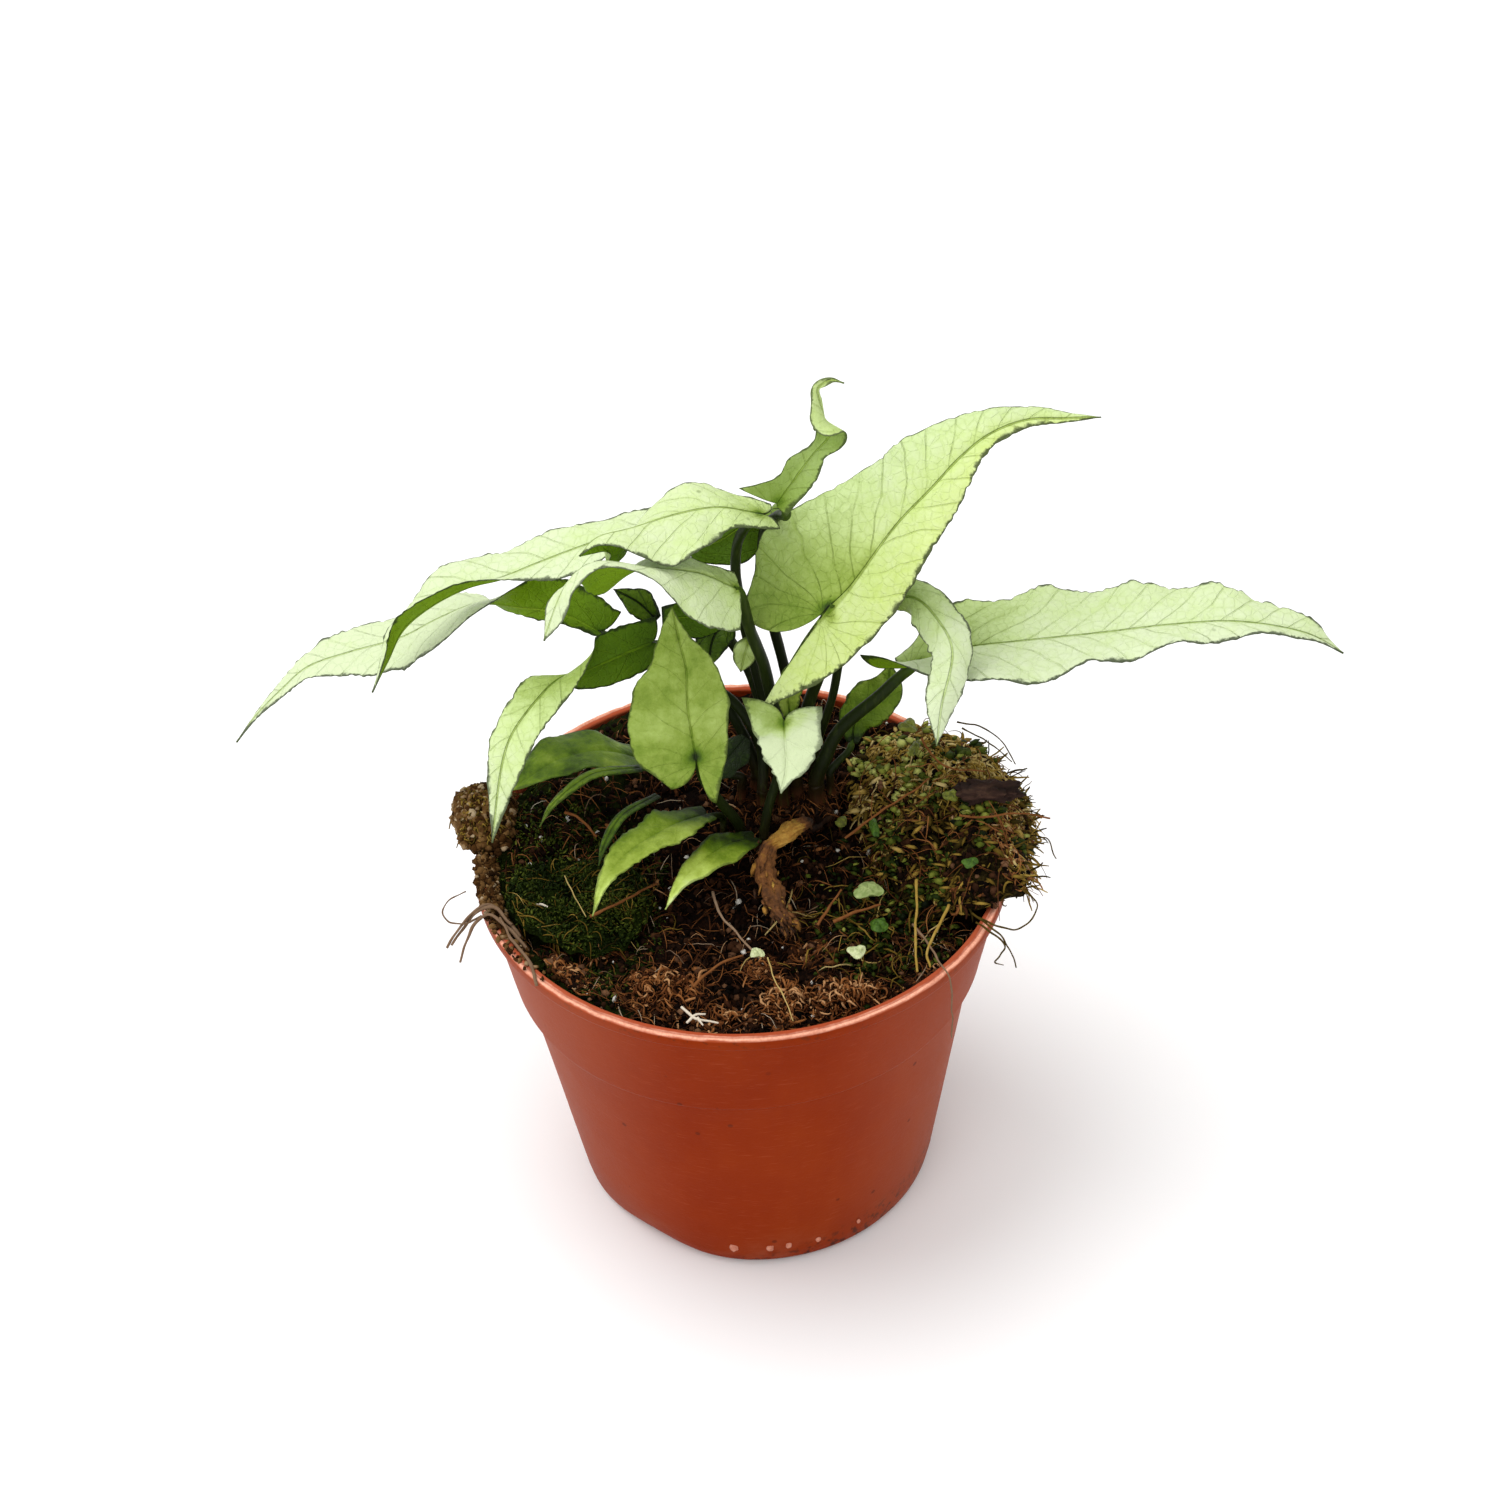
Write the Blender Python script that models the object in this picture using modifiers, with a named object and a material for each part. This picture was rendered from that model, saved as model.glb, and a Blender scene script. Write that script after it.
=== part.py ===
"""Potted arrowhead plant (Syngonium) in a 9 cm terracotta-coloured plastic nursery pot.

Lengths below are in millimetres and are turned into metres when the meshes are made.
The pot stands on z = 0 with its axis on the origin; -Y is the front.
"""
import math

import bpy
import numpy as np

MM = 0.001

# pot
POT_HEIGHT = 72.0
RIM_RADIUS = 45.0
LIP_HEIGHT = 2.4
LIP_WIDTH = 1.9
COLLAR_HEIGHT = 21.0
COLLAR_FOOT_RADIUS = 41.1
BODY_TOP_RADIUS = 39.8
BODY_FOOT_RADIUS = 32.4
FOOT_CHAMFER = 1.3
WALL = 1.0
FLOOR = 1.4
DRAIN_HOLES = 6
DRAIN_DIAMETER = 5.0
DRAIN_CIRCLE = 24.0
OUT_OF_ROUND = 0.028     # the thin rim is pulled wider left to right
RIM_SHIFT = -0.9         # and a little towards -X
COLLAR_TILT = 0.03       # the collar's lower edge stands higher on the right

# planting
CLEARANCE = 0.35         # air left between pieces that touch
SOIL_LEVEL = 68.3
CROWN_AT = (6.5, 12.5)
BLADE_THICKNESS = 0.45
BLADE_EDGE = 0.2

# One entry for each leaf blade. mid: the midrib from the stalk to the tip; face: the way its upper
# side looks; left, right: half widths along it; roll: twist about the midrib in degrees; foldL,
# foldR: how far each half is bent up from flat; lobe: how far the two basal lobes reach back.
LEAVES = {
    "leaf_right_long": dict(
        mid=[(30, 13, 102), (38, 13, 105), (48, 12, 107), (61, 11, 109), (72, 10, 111),
             (83, 9, 112), (94, 8, 110), (101, 7, 106)],
        left=[4, 11, 12, 11.5, 10.5, 9, 7, 4, 0], right=[6, 11.5, 12.5, 10, 8, 7, 5, 2.5, 0],
        foldL=[10, 10, 14, 18], foldR=[80, 8, 10, 15, 20], lobe=(4, 8), wave=0.9, waves=5),
    "leaf_upper_right": dict(
        mid=[(15, 8, 119), (19, 9, 123), (26, 12, 132), (32, 14, 138), (37, 17, 142),
             (42, 19, 145), (48, 21, 146), (54, 21, 146), (60, 21, 146)],
        face=(0, -0.5, 0.87), left=[9, 15, 12, 9.5, 9, 6, 3, 1.5, 0],
        right=[0, 6.5, 8, 7, 5, 2.6, 1.6, 1, 0], foldL=[8, 8], foldR=[8, 8], lobe=(11, 14)),
    "leaf_arching_right": dict(
        mid=[(23, 15, 114), (29, 11, 118), (33, 6.5, 116.5), (35, 1.5, 113.5), (33, -3, 106), (32, -6, 100)],
        face=(0.5, -0.5, 0.7), left=[1, 2.6, 3.2, 3.2, 3, 2.4, 0], right=[1, 3, 3.5, 3.5, 3, 2, 0],
        foldL=[10, 10], foldR=[-70, -65, -55, 0], lobe=(1, 1), wave=0.3),
    "leaf_upper_left": dict(
        mid=[(-12, 17, 131), (-24, 17, 127), (-33, 16, 124), (-39, 15, 122), (-45, 14, 121),
             (-51, 12, 119), (-56, 11, 115), (-59, 9, 110), (-62, 8, 104)],
        left=[4, 6, 6, 5, 3, 3, 3, 2, 0], right=[4, 5, 5.5, 6, 7, 6, 4, 2, 0],
        foldL=[5, 5, 5, 20, 65, 75, 70, 10], foldR=[12, 12, 10], lobe=(3, 3)),
    "leaf_far_left": dict(
        mid=[(-24, 20, 106), (-30, 21, 109), (-37, 21, 111), (-44, 21, 112), (-51, 21, 109),
             (-58, 21, 105), (-67, 20, 103), (-74, 19, 101), (-79, 18, 97), (-84, 17, 92),
             (-88, 16, 87)],
        left=[5, 6, 7, 9, 9.5, 8, 5, 3, 1, 0], right=[1, 2, 3, 6, 7, 6, 5, 3, 1, 0],
        roll=[-110, -100, -30, 0, 0, 0, 0, 0], foldL=[5, 8], foldR=[5, 10], lobe=(2, 2)),
    "leaf_top_centre": dict(
        mid=[(4, 13, 135), (-3, 11, 138), (-10, 8, 139), (-17, 5, 139), (-22, 3, 139), (-25, 2, 136)],
        left=[3, 5, 6, 7, 7, 4, 0], right=[3, 6, 7, 7, 5, 3, 0], foldL=[5, 5], foldR=[5, 5],
        lobe=(3, 3)),
    "leaf_arching_centre": dict(
        mid=[(0, 6, 125), (-6, 3, 131), (-14, 0, 135), (-22, -2, 138), (-27, -5, 136), (-31, -8, 127)],
        left=[6, 8, 8, 6, 3, 2, 1.5, 0], right=[4, 5, 5, 6, 7, 5.6, 3.4, 0],
        foldL=[0, 0, 10, 17, 17, 10], foldR=[10, 0, -20, -70, -70, -30], lobe=(1, 1), camber=0),
    "leaf_front_upright": dict(
        mid=[(-8, -2, 96), (-9, 2, 103), (-9, 5, 109), (-10, 8, 113), (-11, 12, 117)],
        face=(0, -0.8, 0.6), left=[5, 10, 10.5, 9.5, 8.5, 6.5, 4.5, 2.5, 0],
        right=[-1.5, 5.5, 6.5, 7, 6, 4.5, 2.5, 1, 0], foldL=[8, 8], foldR=[8, 8], lobe=(6, 9)),
    "leaf_left_hanging": dict(
        mid=[(-15, 15, 107), (-20, 12, 107), (-25, 9, 107), (-30, 4, 109), (-34, -2, 109),
             (-38, -7, 106), (-40, -11, 101), (-42, -15, 90)],
        left=[4, 5, 5, 4.5, 4.5, 4, 2, 0], right=[4, 5, 5, 4.5, 4, 3, 1.5, 0],
        roll=[-110, -105, -60, 0, 0, 0, 0, 0], foldL=[8, 8], foldR=[8, 8], lobe=(2, 2)),
    "leaf_unrolling_top": dict(
        mid=[(7, 12, 138), (10, 13, 142), (13, 14, 146), (16, 15, 149), (15, 15, 152),
             (14, 15, 156), (14, 15, 158), (16, 14, 160), (18, 13, 160)],
        face=(-0.3, 0.75, -0.6), left=[2.5, 2.8, 2.8, 2, 3, 4.5, 1.5, 0.7, 0],
        right=[7, 3, 2.8, 1.5, 3, 2.5, 0.7, 0.7, 0], roll=[0, 0, 0, 0, 90, 150, 180, 180],
        foldL=[-10, -10], foldR=[-10, -10], lobe=(1, 1), wave=0.2),
    "leaf_small_heart": dict(
        mid=[(7, 0, 101), (7, -4, 100), (7, -8, 98), (6, -12, 96)],
        face=(0, -0.5, 0.87), left=[6.5, 6.2, 5.5, 3.8, 1.6, 0], right=[7, 4.8, 4.4, 3, 1.5, 0],
        foldL=[5, 5], foldR=[5, 5], lobe=(3.5, 5), sweep=0.3),
    "leaf_low_left": dict(
        mid=[(-18, 17, 79), (-25, 15, 83), (-32, 12, 84), (-37, 9, 83), (-42, 6, 82)],
        left=[3, 5, 5, 3, 0], right=[3, 5, 6, 4, 0], foldL=[8, 8], foldR=[8, 8], lobe=(1, 1)),
    "leaf_low_front": dict(
        mid=[(-7, 2, 79), (-13, -4, 82), (-20, -10, 82), (-24, -16, 81), (-26, -22, 79)],
        left=[2, 4, 4, 3, 1.2, 0], right=[2, 4, 4, 3, 1.2, 0], foldL=[8, 8], foldR=[8, 8],
        lobe=(1, 1)),
    "leaf_low_middle": dict(
        mid=[(1, 0, 75), (-4, -4, 77), (-9, -9, 77), (-12, -14, 77), (-14, -18, 76)],
        left=[1.5, 4, 4, 3, 1.2, 0], right=[1.5, 3.2, 3, 2, 1, 0], foldL=[8, 8], foldR=[8, 8],
        lobe=(1, 1)),
    "leaf_narrow_front": dict(
        mid=[(-15, 4, 82), (-21, -2, 83), (-24, -8, 82), (-25, -12, 81)],
        left=[0.8, 1, 1, 0.8, 0], right=[0.8, 1, 1, 0.8, 0], foldL=[8, 8], foldR=[8, 8],
        grid=(6, 2), wave=0.1),
    "leaf_narrow_left": dict(
        mid=[(-18, 10, 83), (-25, 7, 85), (-29, 4, 85), (-33, 0, 84), (-35, -4, 83)],
        left=[1, 1.2, 1.2, 0.8, 0], right=[1, 1.2, 1.2, 0.8, 0], foldL=[8, 8], foldR=[8, 8],
        grid=(6, 2), wave=0.1),
    "leaf_sheath_right": dict(
        mid=[(19, 17, 81), (20, 19, 85), (25, 21, 90), (26, 23, 94)],
        face=(0, -0.7, 0.7), left=[1, 3, 4, 3, 0], right=[1, 3, 4, 3, 0], foldL=[8, 8],
        foldR=[8, 8], grid=(8, 4), wave=0.2),
    "leaf_young_centre": dict(
        mid=[(8, 6, 97), (8, 7, 102), (10, 8, 109)],
        face=(0, -0.8, 0.6), left=[1, 2, 2.4, 2, 0], right=[1, 2, 2.4, 2, 0], foldL=[30, 30],
        foldR=[30, 30], grid=(6, 2), wave=0.1),
    "leaf_shaded_top": dict(
        mid=[(-8, 23, 121), (-3, 23, 122), (2, 22.5, 126), (7, 22, 129), (10, 19.5, 128)],
        left=[2, 4, 4, 2, 0], right=[2, 4, 4, 2, 0], roll=[100, 100, 90, 20, 0],
        foldL=[0, 0], foldR=[0, 0], grid=(8, 4)),
    "leaf_shaded_centre": dict(
        mid=[(-13, 18, 110), (-8, 18, 110), (-2, 16, 113), (1.5, 13.5, 116.5)],
        left=[2, 4, 4, 2, 0], right=[2, 4, 4, 2, 0], roll=[100, 100, 90, 20, 0],
        foldL=[0, 0], foldR=[0, 0], grid=(8, 4)),
    "leaf_shaded_back": dict(
        mid=[(-1.5, 22, 107), (-4.5, 19, 104), (-5.5, 16, 100)],
        face=(0, -0.5, 0.87), left=[1, 3, 3, 2, 0], right=[1, 3, 3, 2, 0], foldL=[8, 8],
        foldR=[8, 8], grid=(6, 4)),
    "leaf_shaded_low": dict(
        mid=[(0.5, 12, 87.5), (-3, 9, 85), (-7, 6, 82)],
        left=[1, 3.5, 3.5, 2, 0], right=[1, 3.5, 3.5, 2, 0], foldL=[8, 8], foldR=[8, 8],
        grid=(6, 4)),
    "leaf_small_back": dict(
        mid=[(-14, 21, 107), (-17, 21, 111), (-21, 21, 114)],
        face=(0, -0.8, 0.6), left=[1, 2, 2.5, 1.5, 0], right=[1, 2, 2.5, 1.5, 0],
        foldL=[8, 8], foldR=[8, 8], grid=(6, 2), wave=0.1),
    "leaf_small_pale": dict(
        mid=[(2, 13, 109), (1, 12, 107), (0, 10, 104)],
        face=(0, -0.8, 0.6), left=[0.6, 1.8, 2, 1.5, 0], right=[0.6, 1.8, 2, 1.5, 0],
        foldL=[8, 8], foldR=[8, 8], grid=(6, 2), wave=0.1),
}

# One entry for each stalk: the points of its centre line from the blade down, and its radius at
# the blade and at the foot.
STALKS = {
    "stalk_right_long": (
        [(27.5, 14.2, 98.6), (23, 13.5, 94), (17, 13, 88), (14, 12, 82), (12.5, 11.5, 76)], 0.9, 1.5),
    "stalk_upper_right": (
        [(14.6, 9.6, 116.6), (15, 10, 110), (14, 11, 104), (12, 12, 97), (9.5, 13, 86),
         (9, 12.8, 76)], 0.9, 1.2),
    "stalk_arching_right": (
        [(22.5, 16.5, 112), (19, 17, 108), (17, 17, 100), (15.5, 17, 91), (13, 16.6, 82),
         (12, 16.2, 76)], 0.6, 0.9),
    "stalk_upper_left": (
        [(-11, 19.5, 127.5), (-11, 24.5, 118), (-6, 27, 105), (1, 26, 92), (4, 22, 82),
         (5, 18.6, 76)], 0.8, 1.0),
    "stalk_far_left": (
        [(-22.5, 20.5, 104), (-14, 21, 100), (-5, 20, 92), (0, 17, 84), (2, 15, 76)], 0.8, 1.0),
    "stalk_top_centre": (
        [(3, 14.8, 132.8), (0, 18, 124), (0.5, 18.5, 110), (4, 17, 90), (6, 15, 76)], 0.8, 1.0),
    "stalk_arching_centre": (
        [(0.5, 7.5, 122.5), (2, 9.5, 113), (4, 10, 105), (5, 10.5, 98), (6.5, 10.8, 88),
         (6.5, 10.6, 76)], 0.95, 1.2),
    "stalk_front_upright": (
        [(-7.6, 0.2, 93), (-7, 1.2, 88), (-5, 2, 83), (-2, 3, 77), (-1, 4, 73)], 0.8, 1.0),
    "stalk_left_hanging": (
        [(-13.4, 17.4, 104), (-9, 17, 99), (-1, 15.5, 92), (3, 13.2, 84), (3, 10.4, 76)], 0.8, 1.0),
    "stalk_unrolling_top": (
        [(8.4, 12.8, 134.6), (7, 16.8, 131.5), (4.5, 19.8, 125), (5, 21, 110), (8, 20.5, 92),
         (8.5, 17.2, 76)], 0.8, 1.0),
    "stalk_small_heart": (
        [(7, 1.8, 99), (7, 4, 93), (6, 4.5, 86), (4, 3.5, 79), (3, 2.5, 73)], 0.7, 0.9),
    "stalk_sheath_right": ([(18.4, 16.2, 80), (16.5, 14.7, 78.9), (15, 13.6, 75.6)], 0.6, 0.7),
    "stalk_low_left": (
        [(-16.5, 16.8, 78.2), (-10, 15, 79), (-4, 13.5, 78), (-0.6, 13, 75)], 0.6, 0.8),
    "stalk_low_front": ([(-6.2, 2.8, 77.8), (-4.6, 5.4, 75.5), (-4, 7, 72.5)], 0.5, 0.7),
}
LOOSE_STRANDS = {
    "dead_sheath": (
        [(11.5, 2.2, 74.5), (7, -1, 75.6), (4.2, -4, 75.4), (4, -8, 72.4), (4.4, -12, 71.6),
         (5.4, -17, 71.2)], 2.1, 1.5),
    "root_pale_front": (
        [(-6, -9.5, 71.5), (-5, -14, 70.6), (-2, -19, 70.2), (1, -23.5, 69.4)], 0.45, 0.35),
    "root_over_rim": (
        [(27.5, -20, 72.5), (30, -26, 73), (31.6, -30.6, 73.3), (32.8, -33, 72.4), (33.2, -33.6, 66),
         (33.4, -33.4, 59)], 0.4, 0.3),
    "root_loop_left": (
        [(-41, -14, 73.2), (-46, -15.6, 73.6), (-50, -18, 70), (-49.6, -21, 66),
         (-46.6, -21, 67.5)], 0.5, 0.4),
}

scene_colours = {
    "pot": ((0.30, 0.052, 0.016), 0.42),
    "soil": ((0.012, 0.007, 0.004), 0.95),
    "moss": ((0.045, 0.04, 0.009), 0.95),
    "dry_moss": ((0.10, 0.06, 0.022), 0.95),
    "leaf": ((0.60, 0.78, 0.36), 0.45),
    "stalk": ((0.035, 0.05, 0.012), 0.4),
    "husk": ((0.33, 0.15, 0.025), 0.7),
    "root": ((0.40, 0.29, 0.20), 0.7),
    "seedling": ((0.30, 0.42, 0.14), 0.5),
    "bark": ((0.02, 0.012, 0.007), 0.9),
}

for old in list(bpy.data.objects):
    bpy.data.objects.remove(old, do_unlink=True)

plant_collection = bpy.data.collections.new("potted_arrowhead_plant")
bpy.context.scene.collection.children.link(plant_collection)
cutter_collection = bpy.data.collections.new("pot_cutters")
bpy.context.scene.collection.children.link(cutter_collection)
root_empty = bpy.data.objects.new("plant_root", None)
plant_collection.objects.link(root_empty)


def material(name, kind):
    """A Principled material in one of the plant's own colours."""
    colour, roughness = scene_colours[kind]
    made = bpy.data.materials.new(name)
    made.use_nodes = True
    shader = made.node_tree.nodes["Principled BSDF"]
    shader.inputs["Base Color"].default_value = (*colour, 1.0)
    shader.inputs["Roughness"].default_value = roughness
    shader.inputs["Metallic"].default_value = 0.0
    return made


def add_object(name, data, kind, collection=plant_collection):
    made = bpy.data.objects.new(name, data)
    collection.objects.link(made)
    if kind:
        data.materials.append(material(name + "_material", kind))
        made.parent = root_empty
    return made


def add_mesh(name, points, faces, kind, smooth=True):
    """A mesh from points in millimetres; the faces close it."""
    mesh = bpy.data.meshes.new(name)
    mesh.from_pydata([tuple(float(c) * MM for c in p) for p in points], [], faces)
    mesh.validate()
    if smooth:
        mesh.shade_smooth()
    return add_object(name, mesh, kind)


def spline(values, t):
    """Catmull-Rom curve through evenly spaced values, read at t from 0 to 1."""
    values = np.asarray(values, float)
    if values.ndim == 1:
        values = values[:, None]
    count = len(values)
    along = np.clip(t, 0, 1) * (count - 1)
    start = np.clip(np.floor(along).astype(int), 0, count - 2)
    f = (along - start)[:, None]
    padded = np.vstack([2 * values[0] - values[1], values, 2 * values[-1] - values[-2]])
    a, b, c, d = padded[start], padded[start + 1], padded[start + 2], padded[start + 3]
    return 0.5 * (2 * b + (c - a) * f + (2 * a - 5 * b + 4 * c - d) * f * f
                  + (3 * b - a - 3 * c + d) * f ** 3)


def unit(vectors):
    return vectors / np.linalg.norm(vectors, axis=-1, keepdims=True)


def blade_surface(leaf):
    """Points of a leaf blade's middle surface: u runs from the stalk to the tip, v across it."""
    across = leaf.get("grid", (10, 4))
    u = np.linspace(0, 1, across[0] + 1)
    v = np.linspace(-1, 1, across[1] + 1)
    dense = np.linspace(0, 1, 201)
    path = spline(leaf["mid"], dense)
    run = np.concatenate([[0], np.cumsum(np.linalg.norm(np.diff(path, axis=0), axis=1))])
    t = np.interp(u * run[-1], run, dense)
    middle = spline(leaf["mid"], t)
    step = 1e-3
    forward = unit(spline(leaf["mid"], np.clip(t + step, 0, 1))
                   - spline(leaf["mid"], np.clip(t - step, 0, 1)))
    side = unit(np.cross(forward, np.array(leaf.get("face", (0, 0, 1)), float)))
    up = np.cross(side, forward)
    roll = np.radians(spline(leaf.get("roll", [0, 0]), u))
    side, up = np.cos(roll) * side + np.sin(roll) * up, np.cos(roll) * up - np.sin(roll) * side
    a = np.abs(v)[None, :, None]
    is_left = (v < 0)[None, :, None]
    sign = np.sign(v)[None, :, None]
    far = u[:, None] > 0.1
    left, right = spline(leaf["left"], u), spline(leaf["right"], u)
    left = np.where(far, np.maximum(left, 0.12), left)
    right = np.where(far, np.maximum(right, 0.12), right)
    width = np.where(is_left, left[:, None], right[:, None])
    fold = np.radians(np.where(is_left, spline(leaf["foldL"], u)[:, None],
                               spline(leaf["foldR"], u)[:, None]))
    lobes = leaf.get("lobe", (0, 0))
    lobe = np.where(is_left, lobes[0], lobes[1])
    sweep = np.clip(1 - u / leaf.get("sweep", 0.35), 0, 1)[:, None, None] ** 2
    outward = side[:, None] * sign * np.cos(fold) + up[:, None] * np.sin(fold)
    wave = leaf.get("wave", 0.6) * np.clip(width / 6, 0, 1) * a ** 2 * np.sin(
        2 * np.pi * (leaf.get("waves", 3.3) * u[:, None, None] + 0.27 * sign))
    return (middle[:, None] + outward * width * a ** (1 + 0.9 * sweep)
            - forward[:, None] * lobe * sweep * np.sin(a * np.pi / 2)
            + up[:, None] * (wave - leaf.get("camber", 0.1) * width * a ** 2))


def make_blade(name, leaf):
    """A thin closed leaf blade: its upper and lower skins, joined round the margin."""
    surface = blade_surface(leaf)
    rows, columns = surface.shape[:2]
    normal = unit(np.cross(np.gradient(surface, axis=1), np.gradient(surface, axis=0)) + 1e-9)
    v = np.abs(np.linspace(-1, 1, columns))[None, :, None]
    half = 0.5 * (BLADE_THICKNESS + (BLADE_EDGE - BLADE_THICKNESS) * v)
    points = np.concatenate([(surface + normal * half).reshape(-1, 3),
                             (surface - normal * half).reshape(-1, 3)])
    below = rows * columns
    faces = []
    for i in range(rows - 1):
        for j in range(columns - 1):
            p = i * columns + j
            ahead = p + columns
            for corner in ((p, p + 1, ahead + 1), (p, ahead + 1, ahead)):
                faces.append(corner)
                faces.append(tuple(below + q for q in reversed(corner)))
    rim = ([j for j in range(columns)]
           + [i * columns + columns - 1 for i in range(1, rows)]
           + [(rows - 1) * columns + j for j in range(columns - 2, -1, -1)]
           + [i * columns for i in range(rows - 2, 0, -1)])
    for p, q in zip(rim, rim[1:] + rim[:1]):
        faces.append((q, p, below + p, below + q))
    return add_mesh(name, points, faces, "leaf")


def make_strand(name, points, radius_start, radius_end, kind, rings=9):
    """A round strand: a curve with a bevel and closed ends, thinner or thicker along its length."""
    t = np.linspace(0, 1, rings)
    path = spline(points, t)
    curve = bpy.data.curves.new(name, "CURVE")
    curve.dimensions = "3D"
    curve.bevel_depth = MM
    curve.bevel_resolution = 2
    curve.use_fill_caps = True
    line = curve.splines.new("POLY")
    line.points.add(rings - 1)
    for point, place, along in zip(line.points, path, t):
        point.co = (*(float(c) * MM for c in place), 1.0)
        point.radius = radius_start + (radius_end - radius_start) * float(along)
    line.use_smooth = True
    return add_object(name, curve, kind)


def settle(x, y, z):
    """The thin pot as it stands: rim out of round, collar edge out of level, one dent in the foot."""
    s = min(max(z / POT_HEIGHT, 0.0), 1.1)
    angle = math.degrees(math.atan2(y, x))
    dent = 1 - 0.05 * math.exp(-((angle + 128) / 17) ** 2) * max(0.0, 1 - z / 7)
    tilt = COLLAR_TILT * x * math.exp(-((z - POT_HEIGHT + COLLAR_HEIGHT) / 8) ** 2)
    return x * dent * (1 + OUT_OF_ROUND * s * s) + RIM_SHIFT * s, y * dent, z + tilt


def wall_radius(z):
    """Outer radius of the pot's wall under the lip."""
    step = POT_HEIGHT - COLLAR_HEIGHT
    if z < step:
        return BODY_FOOT_RADIUS + (BODY_TOP_RADIUS - BODY_FOOT_RADIUS) * z / step
    return COLLAR_FOOT_RADIUS + (RIM_RADIUS - 0.7 - COLLAR_FOOT_RADIUS) * (z - step) / COLLAR_HEIGHT


def soil_height(x, y):
    """Height of the potting mix: uneven, raised about the crown, lower towards the front wall."""
    level = (SOIL_LEVEL + 0.9 * math.sin(0.11 * x + 0.6) * math.cos(0.13 * y - 0.4)
             + 0.5 * math.sin(0.27 * x - 0.19 * y) + 0.05 * y)
    near = min(1.0, max(0.0, (math.hypot(x - CROWN_AT[0], y - CROWN_AT[1]) - 10.0) / 6.0))
    return 68.8 + (level - 68.8) * near * near * (3 - 2 * near)


def loft(name, rings, start, end, kind):
    """A closed body through rings of points, with a single point at each end."""
    count = len(rings[0])
    points = [start]
    for ring in rings:
        points.extend(ring)
    points.append(end)
    last = len(points) - 1
    faces = [(0, 1 + (k + 1) % count, 1 + k) for k in range(count)]
    for level in range(len(rings) - 1):
        low = 1 + level * count
        for k in range(count):
            m = (k + 1) % count
            faces.append((low + k, low + m, low + count + m, low + count + k))
    top = 1 + (len(rings) - 1) * count
    faces.extend((top + k, top + (k + 1) % count, last) for k in range(count))
    return add_mesh(name, points, faces, kind)


def make_pot():
    """The pot: one wall profile turned about the axis, with drain holes cut through the floor."""
    step = POT_HEIGHT - COLLAR_HEIGHT
    lip = POT_HEIGHT - LIP_HEIGHT
    outer = [(RIM_RADIUS - LIP_WIDTH, POT_HEIGHT), (RIM_RADIUS - 0.4, POT_HEIGHT),
             (RIM_RADIUS, POT_HEIGHT - 0.4), (RIM_RADIUS, lip), (wall_radius(lip - 0.3), lip - 0.3),
             (COLLAR_FOOT_RADIUS, step + 0.5), (COLLAR_FOOT_RADIUS - 0.3, step),
             (BODY_TOP_RADIUS, step - 0.7), (wall_radius(FOOT_CHAMFER), FOOT_CHAMFER),
             (BODY_FOOT_RADIUS - FOOT_CHAMFER, 0.0)]
    inner = [(BODY_FOOT_RADIUS - WALL - 0.2, FLOOR), (BODY_TOP_RADIUS - WALL, step - 0.7),
             (COLLAR_FOOT_RADIUS - WALL - 0.3, step + 0.2),
             (wall_radius(lip - 1) - WALL, lip - 1), (RIM_RADIUS - LIP_WIDTH, lip + 0.4)]
    profile = [(0.0, 0.0)] + outer[::-1] + inner[::-1] + [(0.0, FLOOR)]
    mesh = bpy.data.meshes.new("pot")
    mesh.from_pydata([(r * MM, 0, z * MM) for r, z in profile[::-1]],
                     [(i, i + 1) for i in range(len(profile) - 1)], [])
    pot = add_object("pot", mesh, "pot")
    turn = pot.modifiers.new("turn", "SCREW")
    turn.axis = "Z"
    turn.steps = turn.render_steps = 64
    turn.use_merge_vertices = True
    turn.merge_threshold = 0.00002
    turn.use_normal_calculate = True
    bpy.context.view_layer.update()
    turned = bpy.data.meshes.new_from_object(pot.evaluated_get(bpy.context.evaluated_depsgraph_get()))
    pot.modifiers.clear()
    pot.data = turned
    for vertex in turned.vertices:
        x, y, z = settle(*(c / MM for c in vertex.co))
        vertex.co = (x * MM, y * MM, z * MM)
    for k in range(DRAIN_HOLES):
        angle = 2 * math.pi * (k + 0.5) / DRAIN_HOLES
        bpy.ops.mesh.primitive_cylinder_add(
            vertices=20, radius=DRAIN_DIAMETER / 2 * MM, depth=4 * FLOOR * MM,
            location=(DRAIN_CIRCLE * math.cos(angle) * MM, DRAIN_CIRCLE * math.sin(angle) * MM, 0))
        cutter = bpy.context.object
        cutter.name = f"drain_cutter_{k}"
        for home in list(cutter.users_collection):
            home.objects.unlink(cutter)
        cutter_collection.objects.link(cutter)
        cutter.hide_render = True
        cutter.display_type = "WIRE"
        cut = pot.modifiers.new(f"drain_{k}", "BOOLEAN")
        cut.operation = "DIFFERENCE"
        cut.solver = "EXACT"
        cut.object = cutter
    return pot


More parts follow.
